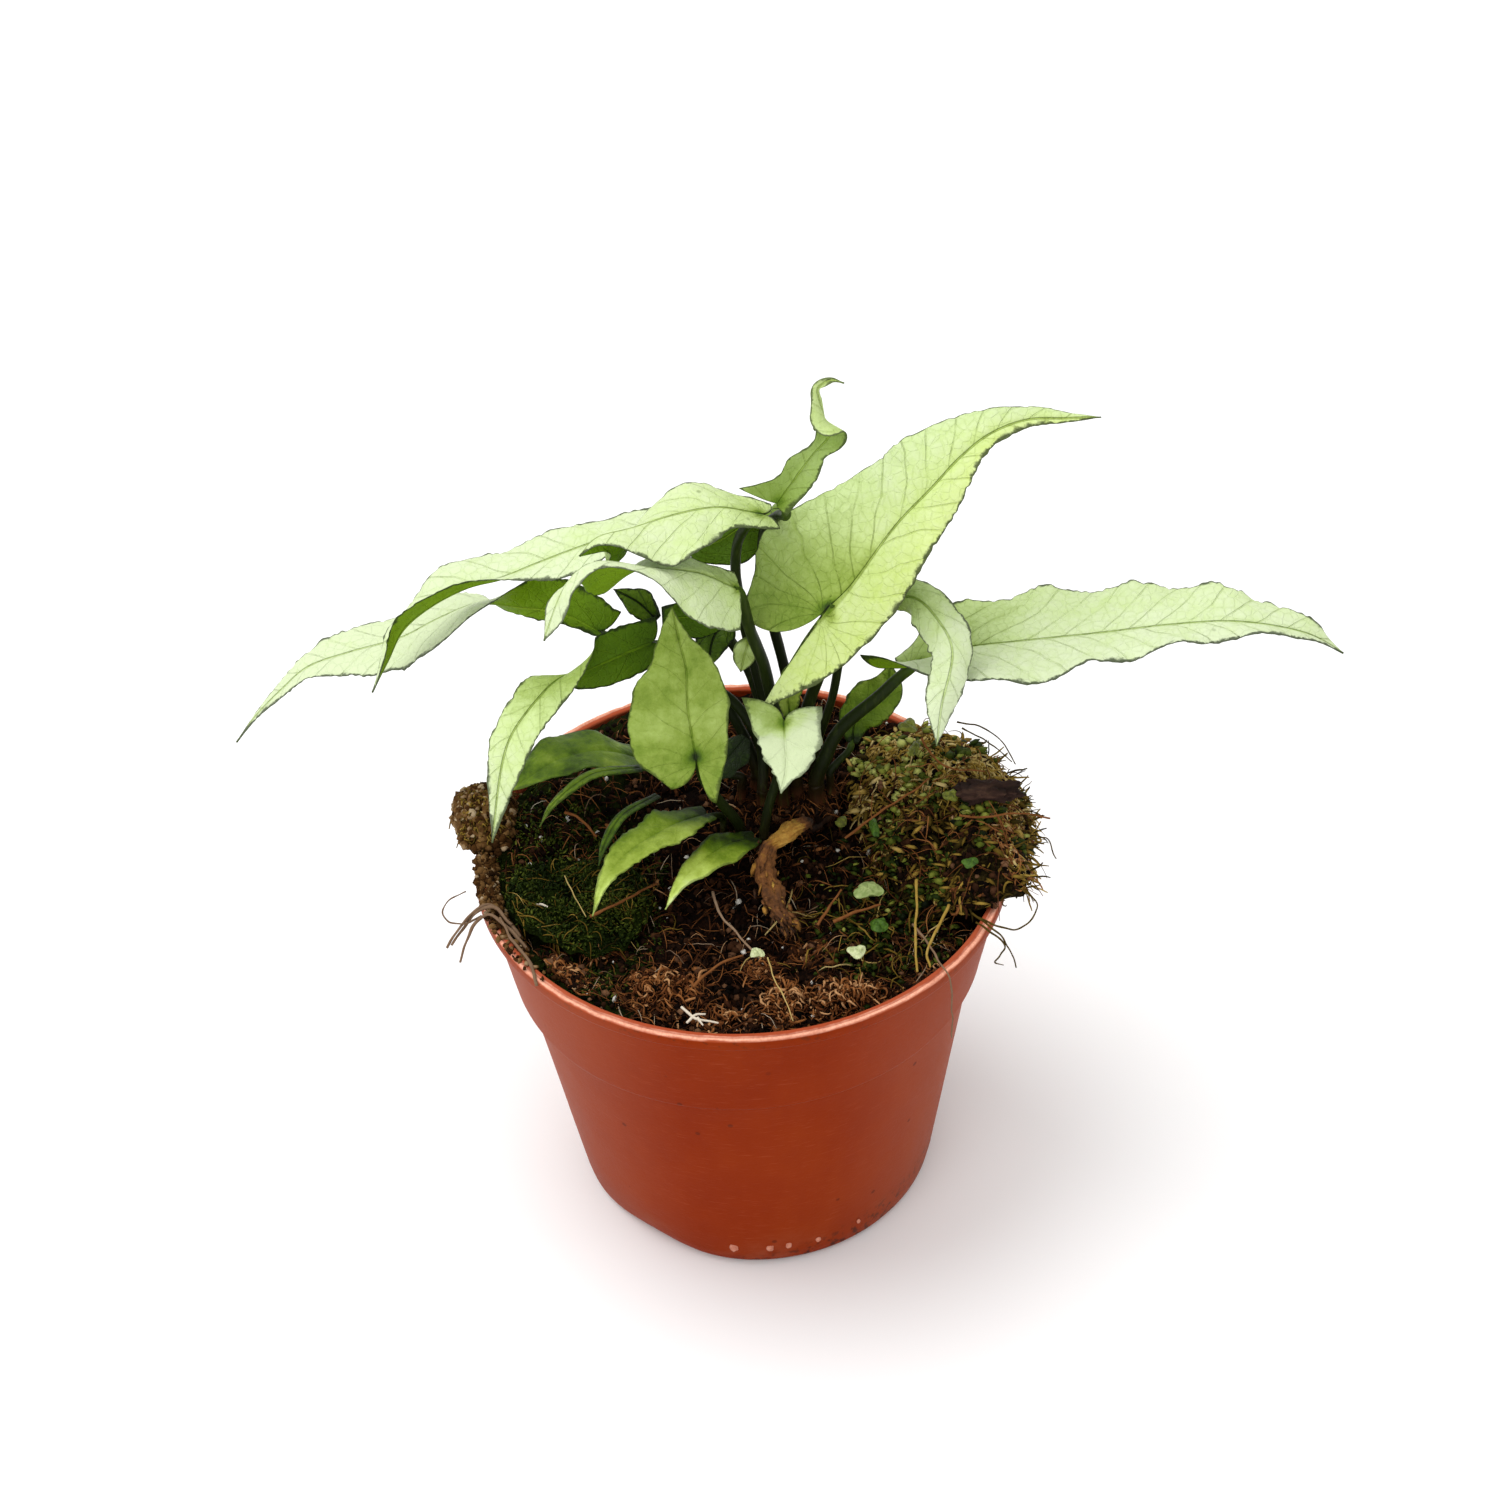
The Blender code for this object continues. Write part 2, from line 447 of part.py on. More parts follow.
def make_soil():
    """The potting mix, filling the pot to just under the rim."""
    count = 48
    rings = []
    step = POT_HEIGHT - COLLAR_HEIGHT

    def ring(radius, z=None):
        made = []
        for k in range(count):
            angle = 2 * math.pi * k / count
            x, y = radius * math.cos(angle), radius * math.sin(angle)
            place = soil_height(x, y) if z is None else z
            made.append(settle(x, y, place))
        return made

    low = FLOOR + CLEARANCE
    rings.append(ring(20.0, low))
    rings.append(ring(wall_radius(low) - WALL - CLEARANCE - 0.7, low))
    rings.append(ring(wall_radius(step - 1) - WALL - CLEARANCE - 0.2, step - 1))
    rings.append(ring(COLLAR_FOOT_RADIUS - WALL - CLEARANCE - 0.5, step + 4))
    for radius in (42.0, 40, 36, 31, 26, 21, 16, 11, 6):
        rings.append(ring(radius))
    centre = settle(0, 0, soil_height(0, 0))
    return loft("soil", rings, settle(0, 0, low), centre, "soil")


def resting_height(x, y):
    """Lowest height for something lying on the soil, on the crown or across the rim."""
    reach = math.hypot((x - RIM_SHIFT) / (1 + OUT_OF_ROUND), y)
    low = soil_height(x, y) + CLEARANCE + 0.35
    if reach > 33.5:
        share = min(1.0, (reach - 33.5) / 5.0)
        low = max(low, low + (POT_HEIGHT + CLEARANCE + 0.25 - low) * share)
    return low


def make_cushion(name, centre, reach, thickness, kind, lumps, layers=4):
    """A moss cushion: a low mound that follows the soil and rim below it."""
    count = 28
    reach_now = spline(list(reach) + [reach[0]], np.linspace(0, 1, count + 1))[:-1, 0]

    def point(share, k, upper):
        angle = 2 * math.pi * k / count
        r = float(reach_now[k]) * share
        x, y = centre[0] + r * math.cos(angle), centre[1] + r * math.sin(angle)
        low = resting_height(x, y)
        if not upper:
            return x, y, low
        rise = thickness * (1 - share ** 3) * (
            1 + lumps * math.sin(0.45 * x + 1.0) * math.cos(0.4 * y)) + 0.5
        return x, y, low + rise

    shares = [(i + 1) / layers for i in range(layers)]
    rings = [[point(s, k, False) for k in range(count)] for s in shares]
    rings += [[point(s, k, True) for k in range(count)] for s in reversed(shares)]
    return loft(name, rings, point(0, 0, False), point(0, 0, True), kind)


def make_crown():
    """The short stem that all the stalks rise from."""
    base = soil_height(*CROWN_AT) + CLEARANCE
    rings = []
    for radius, z in ((6.5, 0.0), (8.6, 0.5), (9.2, 1.6), (8.4, 3.0), (5.0, 3.8)):
        rings.append([(CROWN_AT[0] + radius * math.cos(math.pi * k / 10),
                       CROWN_AT[1] + 0.85 * radius * math.sin(math.pi * k / 10), base + z)
                      for k in range(20)])
    return loft("crown", rings, (*CROWN_AT, base), (*CROWN_AT, base + 3.9), "stalk")


def crown_top(x, y):
    """Height on which a stalk's foot stands: the crown's top, or the soil outside it."""
    reach = math.hypot(x - CROWN_AT[0], (y - CROWN_AT[1]) / 0.85)
    soil = soil_height(x, y)
    if reach > 10.2:
        return soil
    return soil_height(*CROWN_AT) + CLEARANCE + 3.9


def make_seedling(name, x, y, radius, lift):
    """A small round liverwort leaf lying on the mix."""
    bpy.ops.mesh.primitive_uv_sphere_add(segments=12, ring_count=6, radius=MM,
                                         location=(x * MM, y * MM, lift * MM))
    made = bpy.context.object
    made.name = name
    made.scale = (radius, radius * 0.8, 0.7)
    for home in list(made.users_collection):
        home.objects.unlink(made)
    plant_collection.objects.link(made)
    made.data.materials.append(material(name + "_material", "seedling"))
    made.data.shade_smooth()
    made.parent = root_empty
    return made


def make_bark_chip():
    """A dark chip of bark on top of the right-hand cushion."""
    bpy.ops.mesh.primitive_cube_add(size=MM, location=(43 * MM, 3.5 * MM, 81.9 * MM))
    chip = bpy.context.object
    chip.name = "bark_chip"
    chip.scale = (11.0, 4.0, 1.6)
    chip.rotation_euler = (0.0, math.radians(3), math.radians(-8))
    for home in list(chip.users_collection):
        home.objects.unlink(chip)
    plant_collection.objects.link(chip)
    soften = chip.modifiers.new("soften", "BEVEL")
    soften.width = 0.12 * MM
    soften.segments = 2
    chip.data.materials.append(material("bark_chip_material", "bark"))
    chip.parent = root_empty
    return chip


make_pot()
make_soil()
make_crown()
make_cushion("moss_right", (35, 3), (16, 17, 20, 25, 28, 18, 13, 13, 16, 22, 26, 20), 6.5, "moss", 0.15)
make_cushion("moss_left", (-28.5, -9), (12, 12, 11.5, 11.5, 12, 12, 12.5, 13, 13, 13, 13, 12), 1.8,
             "moss", 0.2)
make_cushion("moss_dry_left", (-46, 9), (5, 6, 8, 9, 8, 6, 5.5, 6, 8, 9, 8, 6), 3.6, "dry_moss", 0.1, 3)
for leaf_name, leaf_shape in LEAVES.items():
    make_blade(leaf_name, leaf_shape)
for stalk_name, (stalk_points, top_radius, foot_radius) in STALKS.items():
    foot_x, foot_y = stalk_points[-1][:2]
    foot = crown_top(foot_x, foot_y) + CLEARANCE + 0.2
    upright = min(4.4, 0.4 * (stalk_points[-2][2] - foot))
    whole = list(stalk_points[:-1]) + [(foot_x, foot_y, foot + h) for h in (upright, upright / 2, 0.0)]
    make_strand(stalk_name, whole, top_radius, foot_radius, "stalk", 12)
for strand_name, (strand_points, start_radius, end_radius) in LOOSE_STRANDS.items():
    make_strand(strand_name, strand_points, start_radius, end_radius,
                "husk" if strand_name == "dead_sheath" else "root", 10)
make_seedling("seedling_pale", 19.5, -10.5, 2.4, 69.0)
make_seedling("seedling_green", 21, -18, 1.8, 68.8)
make_bark_chip()
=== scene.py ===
# Potted arrowhead plant: the looks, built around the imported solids. Working lengths are millimetres.
import math

import bpy
import numpy as np
from mathutils import Matrix


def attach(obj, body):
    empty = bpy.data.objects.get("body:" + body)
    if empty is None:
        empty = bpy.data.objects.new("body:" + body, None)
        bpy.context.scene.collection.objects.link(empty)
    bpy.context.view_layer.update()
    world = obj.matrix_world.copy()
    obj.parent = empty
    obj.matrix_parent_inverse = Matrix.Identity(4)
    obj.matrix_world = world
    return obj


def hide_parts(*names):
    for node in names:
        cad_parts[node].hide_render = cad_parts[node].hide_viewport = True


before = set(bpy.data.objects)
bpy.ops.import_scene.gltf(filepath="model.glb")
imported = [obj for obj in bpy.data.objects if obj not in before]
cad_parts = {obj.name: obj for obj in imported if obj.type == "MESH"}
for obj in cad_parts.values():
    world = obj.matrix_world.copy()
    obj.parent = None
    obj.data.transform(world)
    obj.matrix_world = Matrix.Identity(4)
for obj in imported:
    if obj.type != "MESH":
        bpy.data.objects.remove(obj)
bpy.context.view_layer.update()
mm = 0.001
print("frame loaded:", len(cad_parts), "nodes")


# small helpers
def unit(vectors):
    return vectors / np.maximum(np.linalg.norm(vectors, axis=-1, keepdims=True), 1e-12)


def smooth(low, high, value):  # 0 below low, 1 above high, 3t^2 - 2t^3 between
    t = np.clip((value - low) / (high - low), 0, 1)
    return t * t * (3 - 2 * t)


def spline(values, t):  # Catmull-Rom curve through evenly spaced values, read at t from 0 to 1
    values = np.asarray(values, float)
    if values.ndim == 1:
        values = values[:, None]
    count = len(values)
    along = np.clip(t, 0, 1) * (count - 1)
    start = np.clip(np.floor(along).astype(int), 0, count - 2)
    f = (along - start)[:, None]
    padded = np.vstack([2 * values[0] - values[1], values, 2 * values[-1] - values[-2]])
    a, b, c, d = padded[start], padded[start + 1], padded[start + 2], padded[start + 3]
    return 0.5 * (2 * b + (c - a) * f + (2 * a - 5 * b + 4 * c - d) * f * f
                  + (3 * b - a - 3 * c + d) * f ** 3)


lattice = np.random.default_rng(3).random((32, 32, 32))


def lumps(points, size, shift=0.0):
    # value noise from -1 to 1: random numbers on a cubic lattice, blended between with 3t^2 - 2t^3
    p = np.asarray(points, float) / size + shift
    cell = np.floor(p).astype(int)
    f = p - cell
    f = f * f * (3 - 2 * f)
    total = 0.0
    for corner in np.ndindex(2, 2, 2):
        c = np.array(corner)
        k = (cell + c) % 32
        total = total + np.prod(np.where(c, f, 1 - f), axis=-1) * lattice[k[..., 0], k[..., 1], k[..., 2]]
    return total * 2 - 1


def flatPoints(x, y):  # the same places at height 0, where noise is read
    return np.stack([x, y, 0 * x], -1)


def addPiece(name, points, faceSets, fields, paint, replaced=(), rounded=True):
    mesh = bpy.data.meshes.new(name)
    points = np.asarray(points, float).reshape(-1, 3) * mm
    faceSets = [np.asarray(f, int) for f in faceSets if len(f)]
    loops = np.concatenate([f.ravel() for f in faceSets])
    sizes = np.concatenate([np.full(len(f), f.shape[1]) for f in faceSets])
    mesh.vertices.add(len(points))
    mesh.vertices.foreach_set("co", points.ravel())
    mesh.loops.add(len(loops))
    mesh.loops.foreach_set("vertex_index", loops)
    mesh.polygons.add(len(sizes))
    mesh.polygons.foreach_set("loop_start", np.concatenate([[0], np.cumsum(sizes)[:-1]]))
    mesh.update(calc_edges=True)
    for fieldName, values in fields.items():
        values = np.asarray(values, np.float32)
        kind = "FLOAT_VECTOR" if values.ndim == 2 else "FLOAT"
        layer = mesh.attributes.new(fieldName, kind, "POINT")
        layer.data.foreach_set("vector" if values.ndim == 2 else "value", values.ravel())
    if rounded:
        mesh.shade_smooth()
    piece = bpy.data.objects.new(name, mesh)
    bpy.context.scene.collection.objects.link(piece)
    mesh.materials.append(paint)
    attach(piece, "root")
    if replaced:
        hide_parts(*replaced)
    return piece


def gridFaces(rows, columns, first=0, loop=False, flip=False):
    # quads of a grid whose points run along each row; loop joins the last column to the first
    i = np.arange(rows - 1)[:, None] * columns
    j = np.arange(columns if loop else columns - 1)[None, :]
    k = (j + 1) % columns
    quads = np.stack([i + j, i + k, i + columns + k, i + columns + j], -1).reshape(-1, 4) + first
    return quads[:, [0, 3, 2, 1]] if flip else quads


def closedFaces(rows, columns, flip=False):
    # a grid whose rows are rings, closed by fans at two pole points that follow the grid's own points
    last = rows * columns
    j = np.arange(columns)
    k = (j + 1) % columns
    if flip:
        j, k = k, j
    start = np.stack([k, j, 0 * j + last], -1)
    end = np.stack([last - columns + j, last - columns + k, 0 * j + last + 1], -1)
    return [gridFaces(rows, columns, loop=True, flip=flip), start, end]


# shader arithmetic
class Tone:
    # one output of a node, with arithmetic that adds Math nodes
    def __init__(self, paint, socket):
        self.paint, self.socket = paint, socket

    def work(self, operation, *others, clamp=False):
        inputs = dict(enumerate((self,) + others))
        return self.paint.node("ShaderNodeMath", {"operation": operation, "use_clamp": clamp}, inputs)

    def __add__(self, other): return self.work("ADD", other)
    def __sub__(self, other): return self.work("SUBTRACT", other)
    def __mul__(self, other): return self.work("MULTIPLY", other)
    def __truediv__(self, other): return self.work("DIVIDE", other)
    def __radd__(self, other): return self.work("ADD", other)

    def __rsub__(self, other):
        return self.paint.node("ShaderNodeMath", {"operation": "SUBTRACT"}, {0: other, 1: self})

    def size(self): return self.work("ABSOLUTE")
    def least(self, other): return self.work("MINIMUM", other)

    def ramp(self, low, high, start=0.0, end=1.0):  # smooth change from start to end
        return self.paint.node("ShaderNodeMapRange", {"interpolation_type": "SMOOTHSTEP"},
                               {"Value": self, "From Min": low, "From Max": high,
                                "To Min": start, "To Max": end})


class Paint:
    # a material being made; node() adds any node: its settings first, then its sockets
    def __init__(self, name, **constants):
        self.material = bpy.data.materials.new(name)
        self.material.use_nodes = True
        self.tree = self.material.node_tree
        self.tree.nodes.clear()
        self.out = self.tree.nodes.new("ShaderNodeOutputMaterial")
        self.shader = self.tree.nodes.new("ShaderNodeBsdfPrincipled")
        self.tree.links.new(self.shader.outputs[0], self.out.inputs["Surface"])
        for socket, value in constants.items():
            self.shader.inputs[socket.replace("_", " ")].default_value = value

    def plug(self, socket, value):
        if isinstance(value, Tone):
            self.tree.links.new(value.socket, socket)
        elif isinstance(value, (tuple, list)) and len(value) == 3 and socket.type == "RGBA":
            socket.default_value = (*value, 1.0)
        else:
            socket.default_value = value

    def node(self, kind, settings=None, inputs=None, output=0):
        made = self.tree.nodes.new(kind)
        for setting, value in (settings or {}).items():
            if setting == "stops":
                elements = made.color_ramp.elements
                while len(elements) < len(value):
                    elements.new(0.5)
                for element, (place, colour) in zip(elements, value):
                    element.position = place
                    element.color = (*colour, 1.0)
            else:
                setattr(made, setting, value)
        for key, value in (inputs or {}).items():
            self.plug(made.inputs[key], value)
        return Tone(self, made.outputs[output])

    def place(self): return self.node("ShaderNodeTexCoord", output="Object")

    def field(self, name, output="Fac"):
        return self.node("ShaderNodeAttribute", {"attribute_name": name}, output=output)

    def parts(self, vector):
        made = self.node("ShaderNodeSeparateXYZ", inputs={0: vector})
        return [Tone(self, made.socket.node.outputs[k]) for k in range(3)]

    def noise(self, where, size, detail=3.0, rough=0.55, stretch=None):  # size in millimetres
        if stretch:
            where = self.node("ShaderNodeMapping", inputs={"Vector": where, "Scale": stretch})
        return self.node("ShaderNodeTexNoise", inputs={"Vector": where, "Scale": 1000.0 / size,
                                                       "Detail": detail, "Roughness": rough})

    def cells(self, where, size, feature="DISTANCE_TO_EDGE"):
        return self.node("ShaderNodeTexVoronoi", {"feature": feature},
                         {"Vector": where, "Scale": 1000.0 / size})

    def blend(self, factor, first, second, mode="MIX"):
        return self.node("ShaderNodeMix", {"data_type": "RGBA", "blend_type": mode},
                         {0: factor, 6: first, 7: second}, output=2)

    def scale(self, *stops, by):  # colours along a ramp, read at by
        return self.node("ShaderNodeValToRGB", {"stops": stops}, {"Fac": by})

    def finish(self, colour=None, roughness=None, height=None, depth=0.1, strength=1.0):
        if colour is not None:
            self.plug(self.shader.inputs["Base Color"], colour)
        if roughness is not None:
            self.plug(self.shader.inputs["Roughness"], roughness)
        if height is not None:
            bump = self.node("ShaderNodeBump", inputs={"Height": height, "Distance": depth * mm,
                                                       "Strength": strength}, output="Normal")
            self.plug(self.shader.inputs["Normal"], bump)
        return self.material


# camera, floor and light
view = dict(elevation=41.6, roll=-2.0, distance=520.0, target=(2.1, 0.0, 93.8), lens=73.52)


def placeCamera():
    e, roll = math.radians(view["elevation"]), math.radians(view["roll"])
    back = np.array([0, -math.cos(e), math.sin(e)])
    right = np.array([1.0, 0, 0])
    up = np.cross(right, -back)
    across = math.cos(roll) * right + math.sin(roll) * up
    upward = -math.sin(roll) * right + math.cos(roll) * up
    spot = (np.array(view["target"]) + back * view["distance"]) * mm
    camera = bpy.data.objects.new("camera", bpy.data.cameras.new("camera"))
    camera.data.lens, camera.data.sensor_width = view["lens"], 36.0
    camera.data.clip_start, camera.data.clip_end = 0.01, 20.0
    matrix = np.eye(4)
    matrix[:3, 0], matrix[:3, 1], matrix[:3, 2], matrix[:3, 3] = across, upward, back, spot
    camera.matrix_world = Matrix(matrix.tolist())
    bpy.context.scene.collection.objects.link(camera)
    bpy.context.scene.camera = camera


studio = dict(sky=0.86, floor=(0.97, 0.97, 0.97))
lamps = {  # where it stands, what it aims at, how wide, how many watts
    "lampHigh": dict(at=(-0.35, 0.10, 1.15), to=(0, 0, 0.06), wide=0.8, watts=7.0),
    "lampFront": dict(at=(-0.55, -0.95, 0.75), to=(0, 0, 0.05), wide=0.9, watts=2.6),
}


def lightStudio():
    world = bpy.data.worlds.new("studio")
    bpy.context.scene.world = world
    world.use_nodes = True
    backdrop = world.node_tree.nodes["Background"]
    backdrop.inputs["Color"].default_value = (1, 1, 1, 1)
    backdrop.inputs["Strength"].default_value = studio["sky"]
    for name, lamp in lamps.items():
        light = bpy.data.lights.new(name, "AREA")
        light.shape, light.size, light.energy = "DISK", lamp["wide"], lamp["watts"]
        holder = bpy.data.objects.new(name, light)
        back = unit(np.array(lamp["at"]) - np.array(lamp["to"]))
        right = unit(np.cross([0, 1, 0.01], back))
        matrix = np.eye(4)
        matrix[:3, 0], matrix[:3, 1], matrix[:3, 2] = right, np.cross(back, right), back
        matrix[:3, 3] = lamp["at"]
        holder.matrix_world = Matrix(matrix.tolist())
        bpy.context.scene.collection.objects.link(holder)
    mesh = bpy.data.meshes.new("floor")
    reach = 6.0
    mesh.from_pydata([(-reach, -reach, -0.0003), (reach, -reach, -0.0003), (reach, reach, -0.0003),
                      (-reach, reach, -0.0003)], [], [(0, 1, 2, 3)])
    floor = bpy.data.objects.new("floor", mesh)
    mesh.materials.append(Paint("floorPaint", Base_Color=(*studio["floor"], 1), Roughness=0.9).material)
    bpy.context.scene.collection.objects.link(floor)


bpy.context.scene.view_settings.view_transform = "Standard"
placeCamera()
lightStudio()
print("camera and light placed")

# pot
pot = dict(height=72.0, rim=45.0, lipHeight=2.4, lipWidth=1.9, collar=21.0, collarFoot=41.1,
           bodyTop=39.8, bodyFoot=32.4, wall=1.0, floor=1.4, outOfRound=0.028, shift=-0.9, tilt=0.03,
           drains=6, drainWide=5.0, drainCircle=24.0, turns=224)


def settle(points):
    # the thin pot as it stands: rim wider left to right, collar edge out of level, one dent in the foot
    x, y, z = np.moveaxis(np.asarray(points, float), -1, 0)
    s = np.clip(z / pot["height"], 0, 1.1)
    angle = np.degrees(np.arctan2(y, x))
    dent = 1 - 0.05 * np.exp(-((angle + 128) / 17) ** 2) * np.maximum(0, 1 - z / 7)
    tilt = pot["tilt"] * x * np.exp(-((z - pot["height"] + pot["collar"]) / 8) ** 2)
    return np.stack([x * dent * (1 + pot["outOfRound"] * s * s) + pot["shift"] * s, y * dent, z + tilt], -1)


def wallRadius(z):
    step = pot["height"] - pot["collar"]
    low = pot["bodyFoot"] + (pot["bodyTop"] - pot["bodyFoot"]) * z / step
    high = pot["collarFoot"] + (pot["rim"] - 0.7 - pot["collarFoot"]) * (z - step) / pot["collar"]
    return np.where(z < step, low, high)


def makePot():
    # a wall profile turned about z, each corner rounded by short chords, then settled out of round
    h, rim, step = pot["height"], pot["rim"], pot["height"] - pot["collar"]
    lip = h - pot["lipHeight"]
    foot, top, collarFoot = pot["bodyFoot"], pot["bodyTop"], pot["collarFoot"]
    inside = rim - pot["lipWidth"]
    down = lambda z: float(wallRadius(z))
    profile = [(0.0, 0.0), (foot - 4.2, 0.0), (foot - 3.6, 0.5), (foot - 3.1, 0.5), (foot - 2.5, 0.0),
               (foot - 1.5, 0.0), (foot - 0.85, 0.18), (foot - 0.35, 0.6), (foot + 0.05, 1.3)]
    profile += [(down(z), z) for z in np.linspace(3.5, step - 1.6, 9)]
    profile += [(top - 0.05, step - 0.9), (top + 0.1, step - 0.45), (collarFoot - 0.55, step - 0.25),
                (collarFoot - 0.12, step - 0.05), (collarFoot + 0.06, step + 0.4),
                (collarFoot + 0.14, step + 1.0)]
    profile += [(down(z), z) for z in np.linspace(step + 3, lip - 1.6, 7)]
    profile += [(down(lip - 0.7) + 0.02, lip - 0.7), (down(lip - 0.3) + 0.12, lip - 0.3),
                (rim - 0.12, lip - 0.04), (rim, lip + 0.3), (rim, h - 0.75), (rim - 0.06, h - 0.4),
                (rim - 0.2, h - 0.16), (rim - 0.42, h - 0.04), (rim - 0.62, h - 0.06),
                (rim - 0.74, h - 0.2), (rim - 0.88, h - 0.22), (rim - 1.0, h - 0.08),
                (rim - 1.5, h - 0.02), (inside + 0.18, h - 0.06), (inside + 0.04, h - 0.22),
                (inside, h - 0.5), (inside, lip + 0.4), (down(lip - 1) - pot["wall"], lip - 1)]
    profile += [(down(step + 0.2) - pot["wall"] - 0.2, step + 0.2), (top - pot["wall"], step - 0.7),
                (foot - pot["wall"] - 0.2, pot["floor"]), (0.0, pot["floor"])]
    profile = np.array(profile)
    ring = profile[1:-1]
    turn = np.linspace(0, 2 * np.pi, pot["turns"], endpoint=False)
    r = ring[:, 0][:, None]
    cloud = np.stack([r * np.cos(turn), r * np.sin(turn), ring[:, 1][:, None] + 0 * turn], -1)
    cloud = settle(cloud)
    radial = np.stack([np.cos(turn), np.sin(turn), 0 * turn], -1)[None]
    outer = (ring[:, 1] > 2)[:, None, None] & (np.arange(len(ring)) < 36)[:, None, None]
    cloud = cloud + radial * np.where(outer, 0.10, 0.0) * lumps(cloud, 17)[..., None]
    nick = lumps(np.stack([turn * 30, 0 * turn, 0 * turn], -1), 1.1) ** 6 * 0.5
    lipEdge = (smooth(h - 0.9, h - 0.2, ring[:, 1]) * smooth(rim - 1.0, rim - 0.3, ring[:, 0]))[:, None]
    cloud[..., 2] -= lipEdge * nick * 0.9
    points = np.concatenate([cloud.reshape(-1, 3), [[0, 0, 0.0], [0, 0, pot["floor"]]]])
    return points, closedFaces(*cloud.shape[:2])


def paintPot():
    p = Paint("potPlastic", Specular_IOR_Level=0.02)
    where = p.place()
    x, y, z = p.parts(where)
    x, y, z = x * 1000, y * 1000, z * 1000
    broad = p.noise(where, 45, 2)
    cloud = p.noise(where, 9, 4, 0.6)
    grain = p.noise(where, 0.45, 2)
    streak = p.noise(where, 6, 3, 0.6, (1, 1, 0.12))
    body = p.scale((0.3, (0.20, 0.017, 0.001)), (0.5, (0.232, 0.024, 0.002)), (0.7, (0.265, 0.034, 0.004)),
                   by=broad * 0.55 + cloud * 0.25 + streak * 0.2)
    dust = (cloud.ramp(0.5, 0.72) * (12.0 - z).ramp(0, 12) * 0.7).least(1.0)
    body = p.blend(dust * 0.4, body, (0.34, 0.12, 0.07))
    grime = p.noise(where, 1.5, 4, 0.7).ramp(0.50, 0.60) * (x * 0.07 - z * 0.32 + 1.5).ramp(0, 1.6)
    body = p.blend(grime * 0.85, body, (0.035, 0.010, 0.005))
    soiled = p.noise(where, 1.3, 4, 0.65).ramp(0.56, 0.64) * (z - 68).ramp(0, 4)
    body = p.blend(soiled * 0.45, body, (0.05, 0.018, 0.008))
    # painted sheen: the pot is painted paler towards its left and right sides
    paintedSheen = (x.size() - 10).ramp(0, 26) * (broad * 0.5 + 0.5)  # paler at the left and right
    body = p.blend(paintedSheen * 0.36, body, (0.44, 0.145, 0.080))
    away = ((x + 0.9) * 0.973).work("POWER", 2.0) + y.work("POWER", 2.0)
    across = away.work("POWER", 0.5) + (cloud - 0.5) * 0.3  # distance from the middle of the rim
    onTop = (z - 71.4).ramp(0, 0.3)
    # painted highlight: the top face of the rim is painted paler, as lit from above
    body = p.blend(onTop * 0.55, body, (0.46, 0.095, 0.040))
    # painted highlight: a pale band along the outer edge of the lip
    pale = (across + (cloud - 0.5) * 0.8 - 44.4).size().ramp(0.25, 0.6, 1, 0) * onTop
    body = p.blend(pale * (grain.ramp(0.3, 0.7) * 0.3 + cloud.ramp(0.3, 0.6) * 0.45 + 0.35), body,
                   (0.92, 0.45, 0.31))
    # painted shade: a dark line along the groove in the lip
    line = (across - 44.1).size().ramp(0.05, 0.2, 1, 0) * onTop
    body = p.blend(line * 0.5, body, (0.22, 0.03, 0.010))
    speck = p.cells(where, 7.5, "F1").ramp(0.05, 0.075, 1, 0) * (z - 50).ramp(20, 0, 0, 1)
    body = p.blend(speck * 0.55, body, (0.05, 0.010, 0.004))
    scratch = p.noise(where, 1.1, 2, 0.5, (0.3, 0.3, 6)).ramp(0.63, 0.7) * 0.2
    body = p.blend(scratch, body, (0.42, 0.10, 0.05))
    return p.finish(body, grain * 0.12 + cloud * 0.14 + 0.30, grain * 0.5 + streak * 0.6 + cloud * 1.2, 0.08)


def drillDrains(piece):  # drain holes through the floor
    for k in range(pot["drains"]):
        angle = 2 * math.pi * (k + 0.5) / pot["drains"]
        spot = (pot["drainCircle"] * math.cos(angle) * mm, pot["drainCircle"] * math.sin(angle) * mm, 0)
        bpy.ops.mesh.primitive_cylinder_add(
            vertices=32, radius=pot["drainWide"] / 2 * mm, depth=6 * mm, location=spot)
        drill = bpy.context.object
        cut = piece.modifiers.new("drain", "BOOLEAN")
        cut.operation, cut.solver, cut.object = "DIFFERENCE", "EXACT", drill
        bpy.context.view_layer.update()
        drilled = piece.evaluated_get(bpy.context.evaluated_depsgraph_get())
        drilled = bpy.data.meshes.new_from_object(drilled)
        piece.modifiers.clear()
        piece.data = drilled
        bpy.data.objects.remove(drill)
    piece.data.name = piece.name


potPoints, potFaces = makePot()
drillDrains(addPiece("potShell", potPoints, potFaces, {}, paintPot(), ["pot"]))
print("pot made")

# soil
soil = dict(level=68.3, edge=42.3, rings=150, turns=420)
crownAt = (6.5, 12.5)
crownFoot = 68.8  # height of the mix under the crown


def soilHeight(x, y):
    # uneven potting mix: two slow waves, rising to the back, levelled about the crown
    level = (soil["level"] + 0.9 * np.sin(0.11 * x + 0.6) * np.cos(0.13 * y - 0.4)
             + 0.5 * np.sin(0.27 * x - 0.19 * y) + 0.05 * y)
    near = smooth(10.0, 16.0, np.hypot(x - crownAt[0], y - crownAt[1]))
    return crownFoot + (level - crownFoot) * near


def roughSoil(x, y):
    flat = flatPoints(x, y)
    coarse = lumps(flat, 5.5, 0.3) * 0.9 + lumps(flat, 2.6, 5.1) * 0.65
    # higher against the pot at the left and the back
    banked = 2.3 * smooth(33, 41, np.hypot(x, y)) * np.maximum(smooth(-8, -28, x), smooth(8, 26, y))
    return (soilHeight(x, y) - 0.7 + banked + coarse + lumps(flat, 1.1, 2.2) * 0.35
            + lumps(flat, 0.5, 8.0) * 0.16)


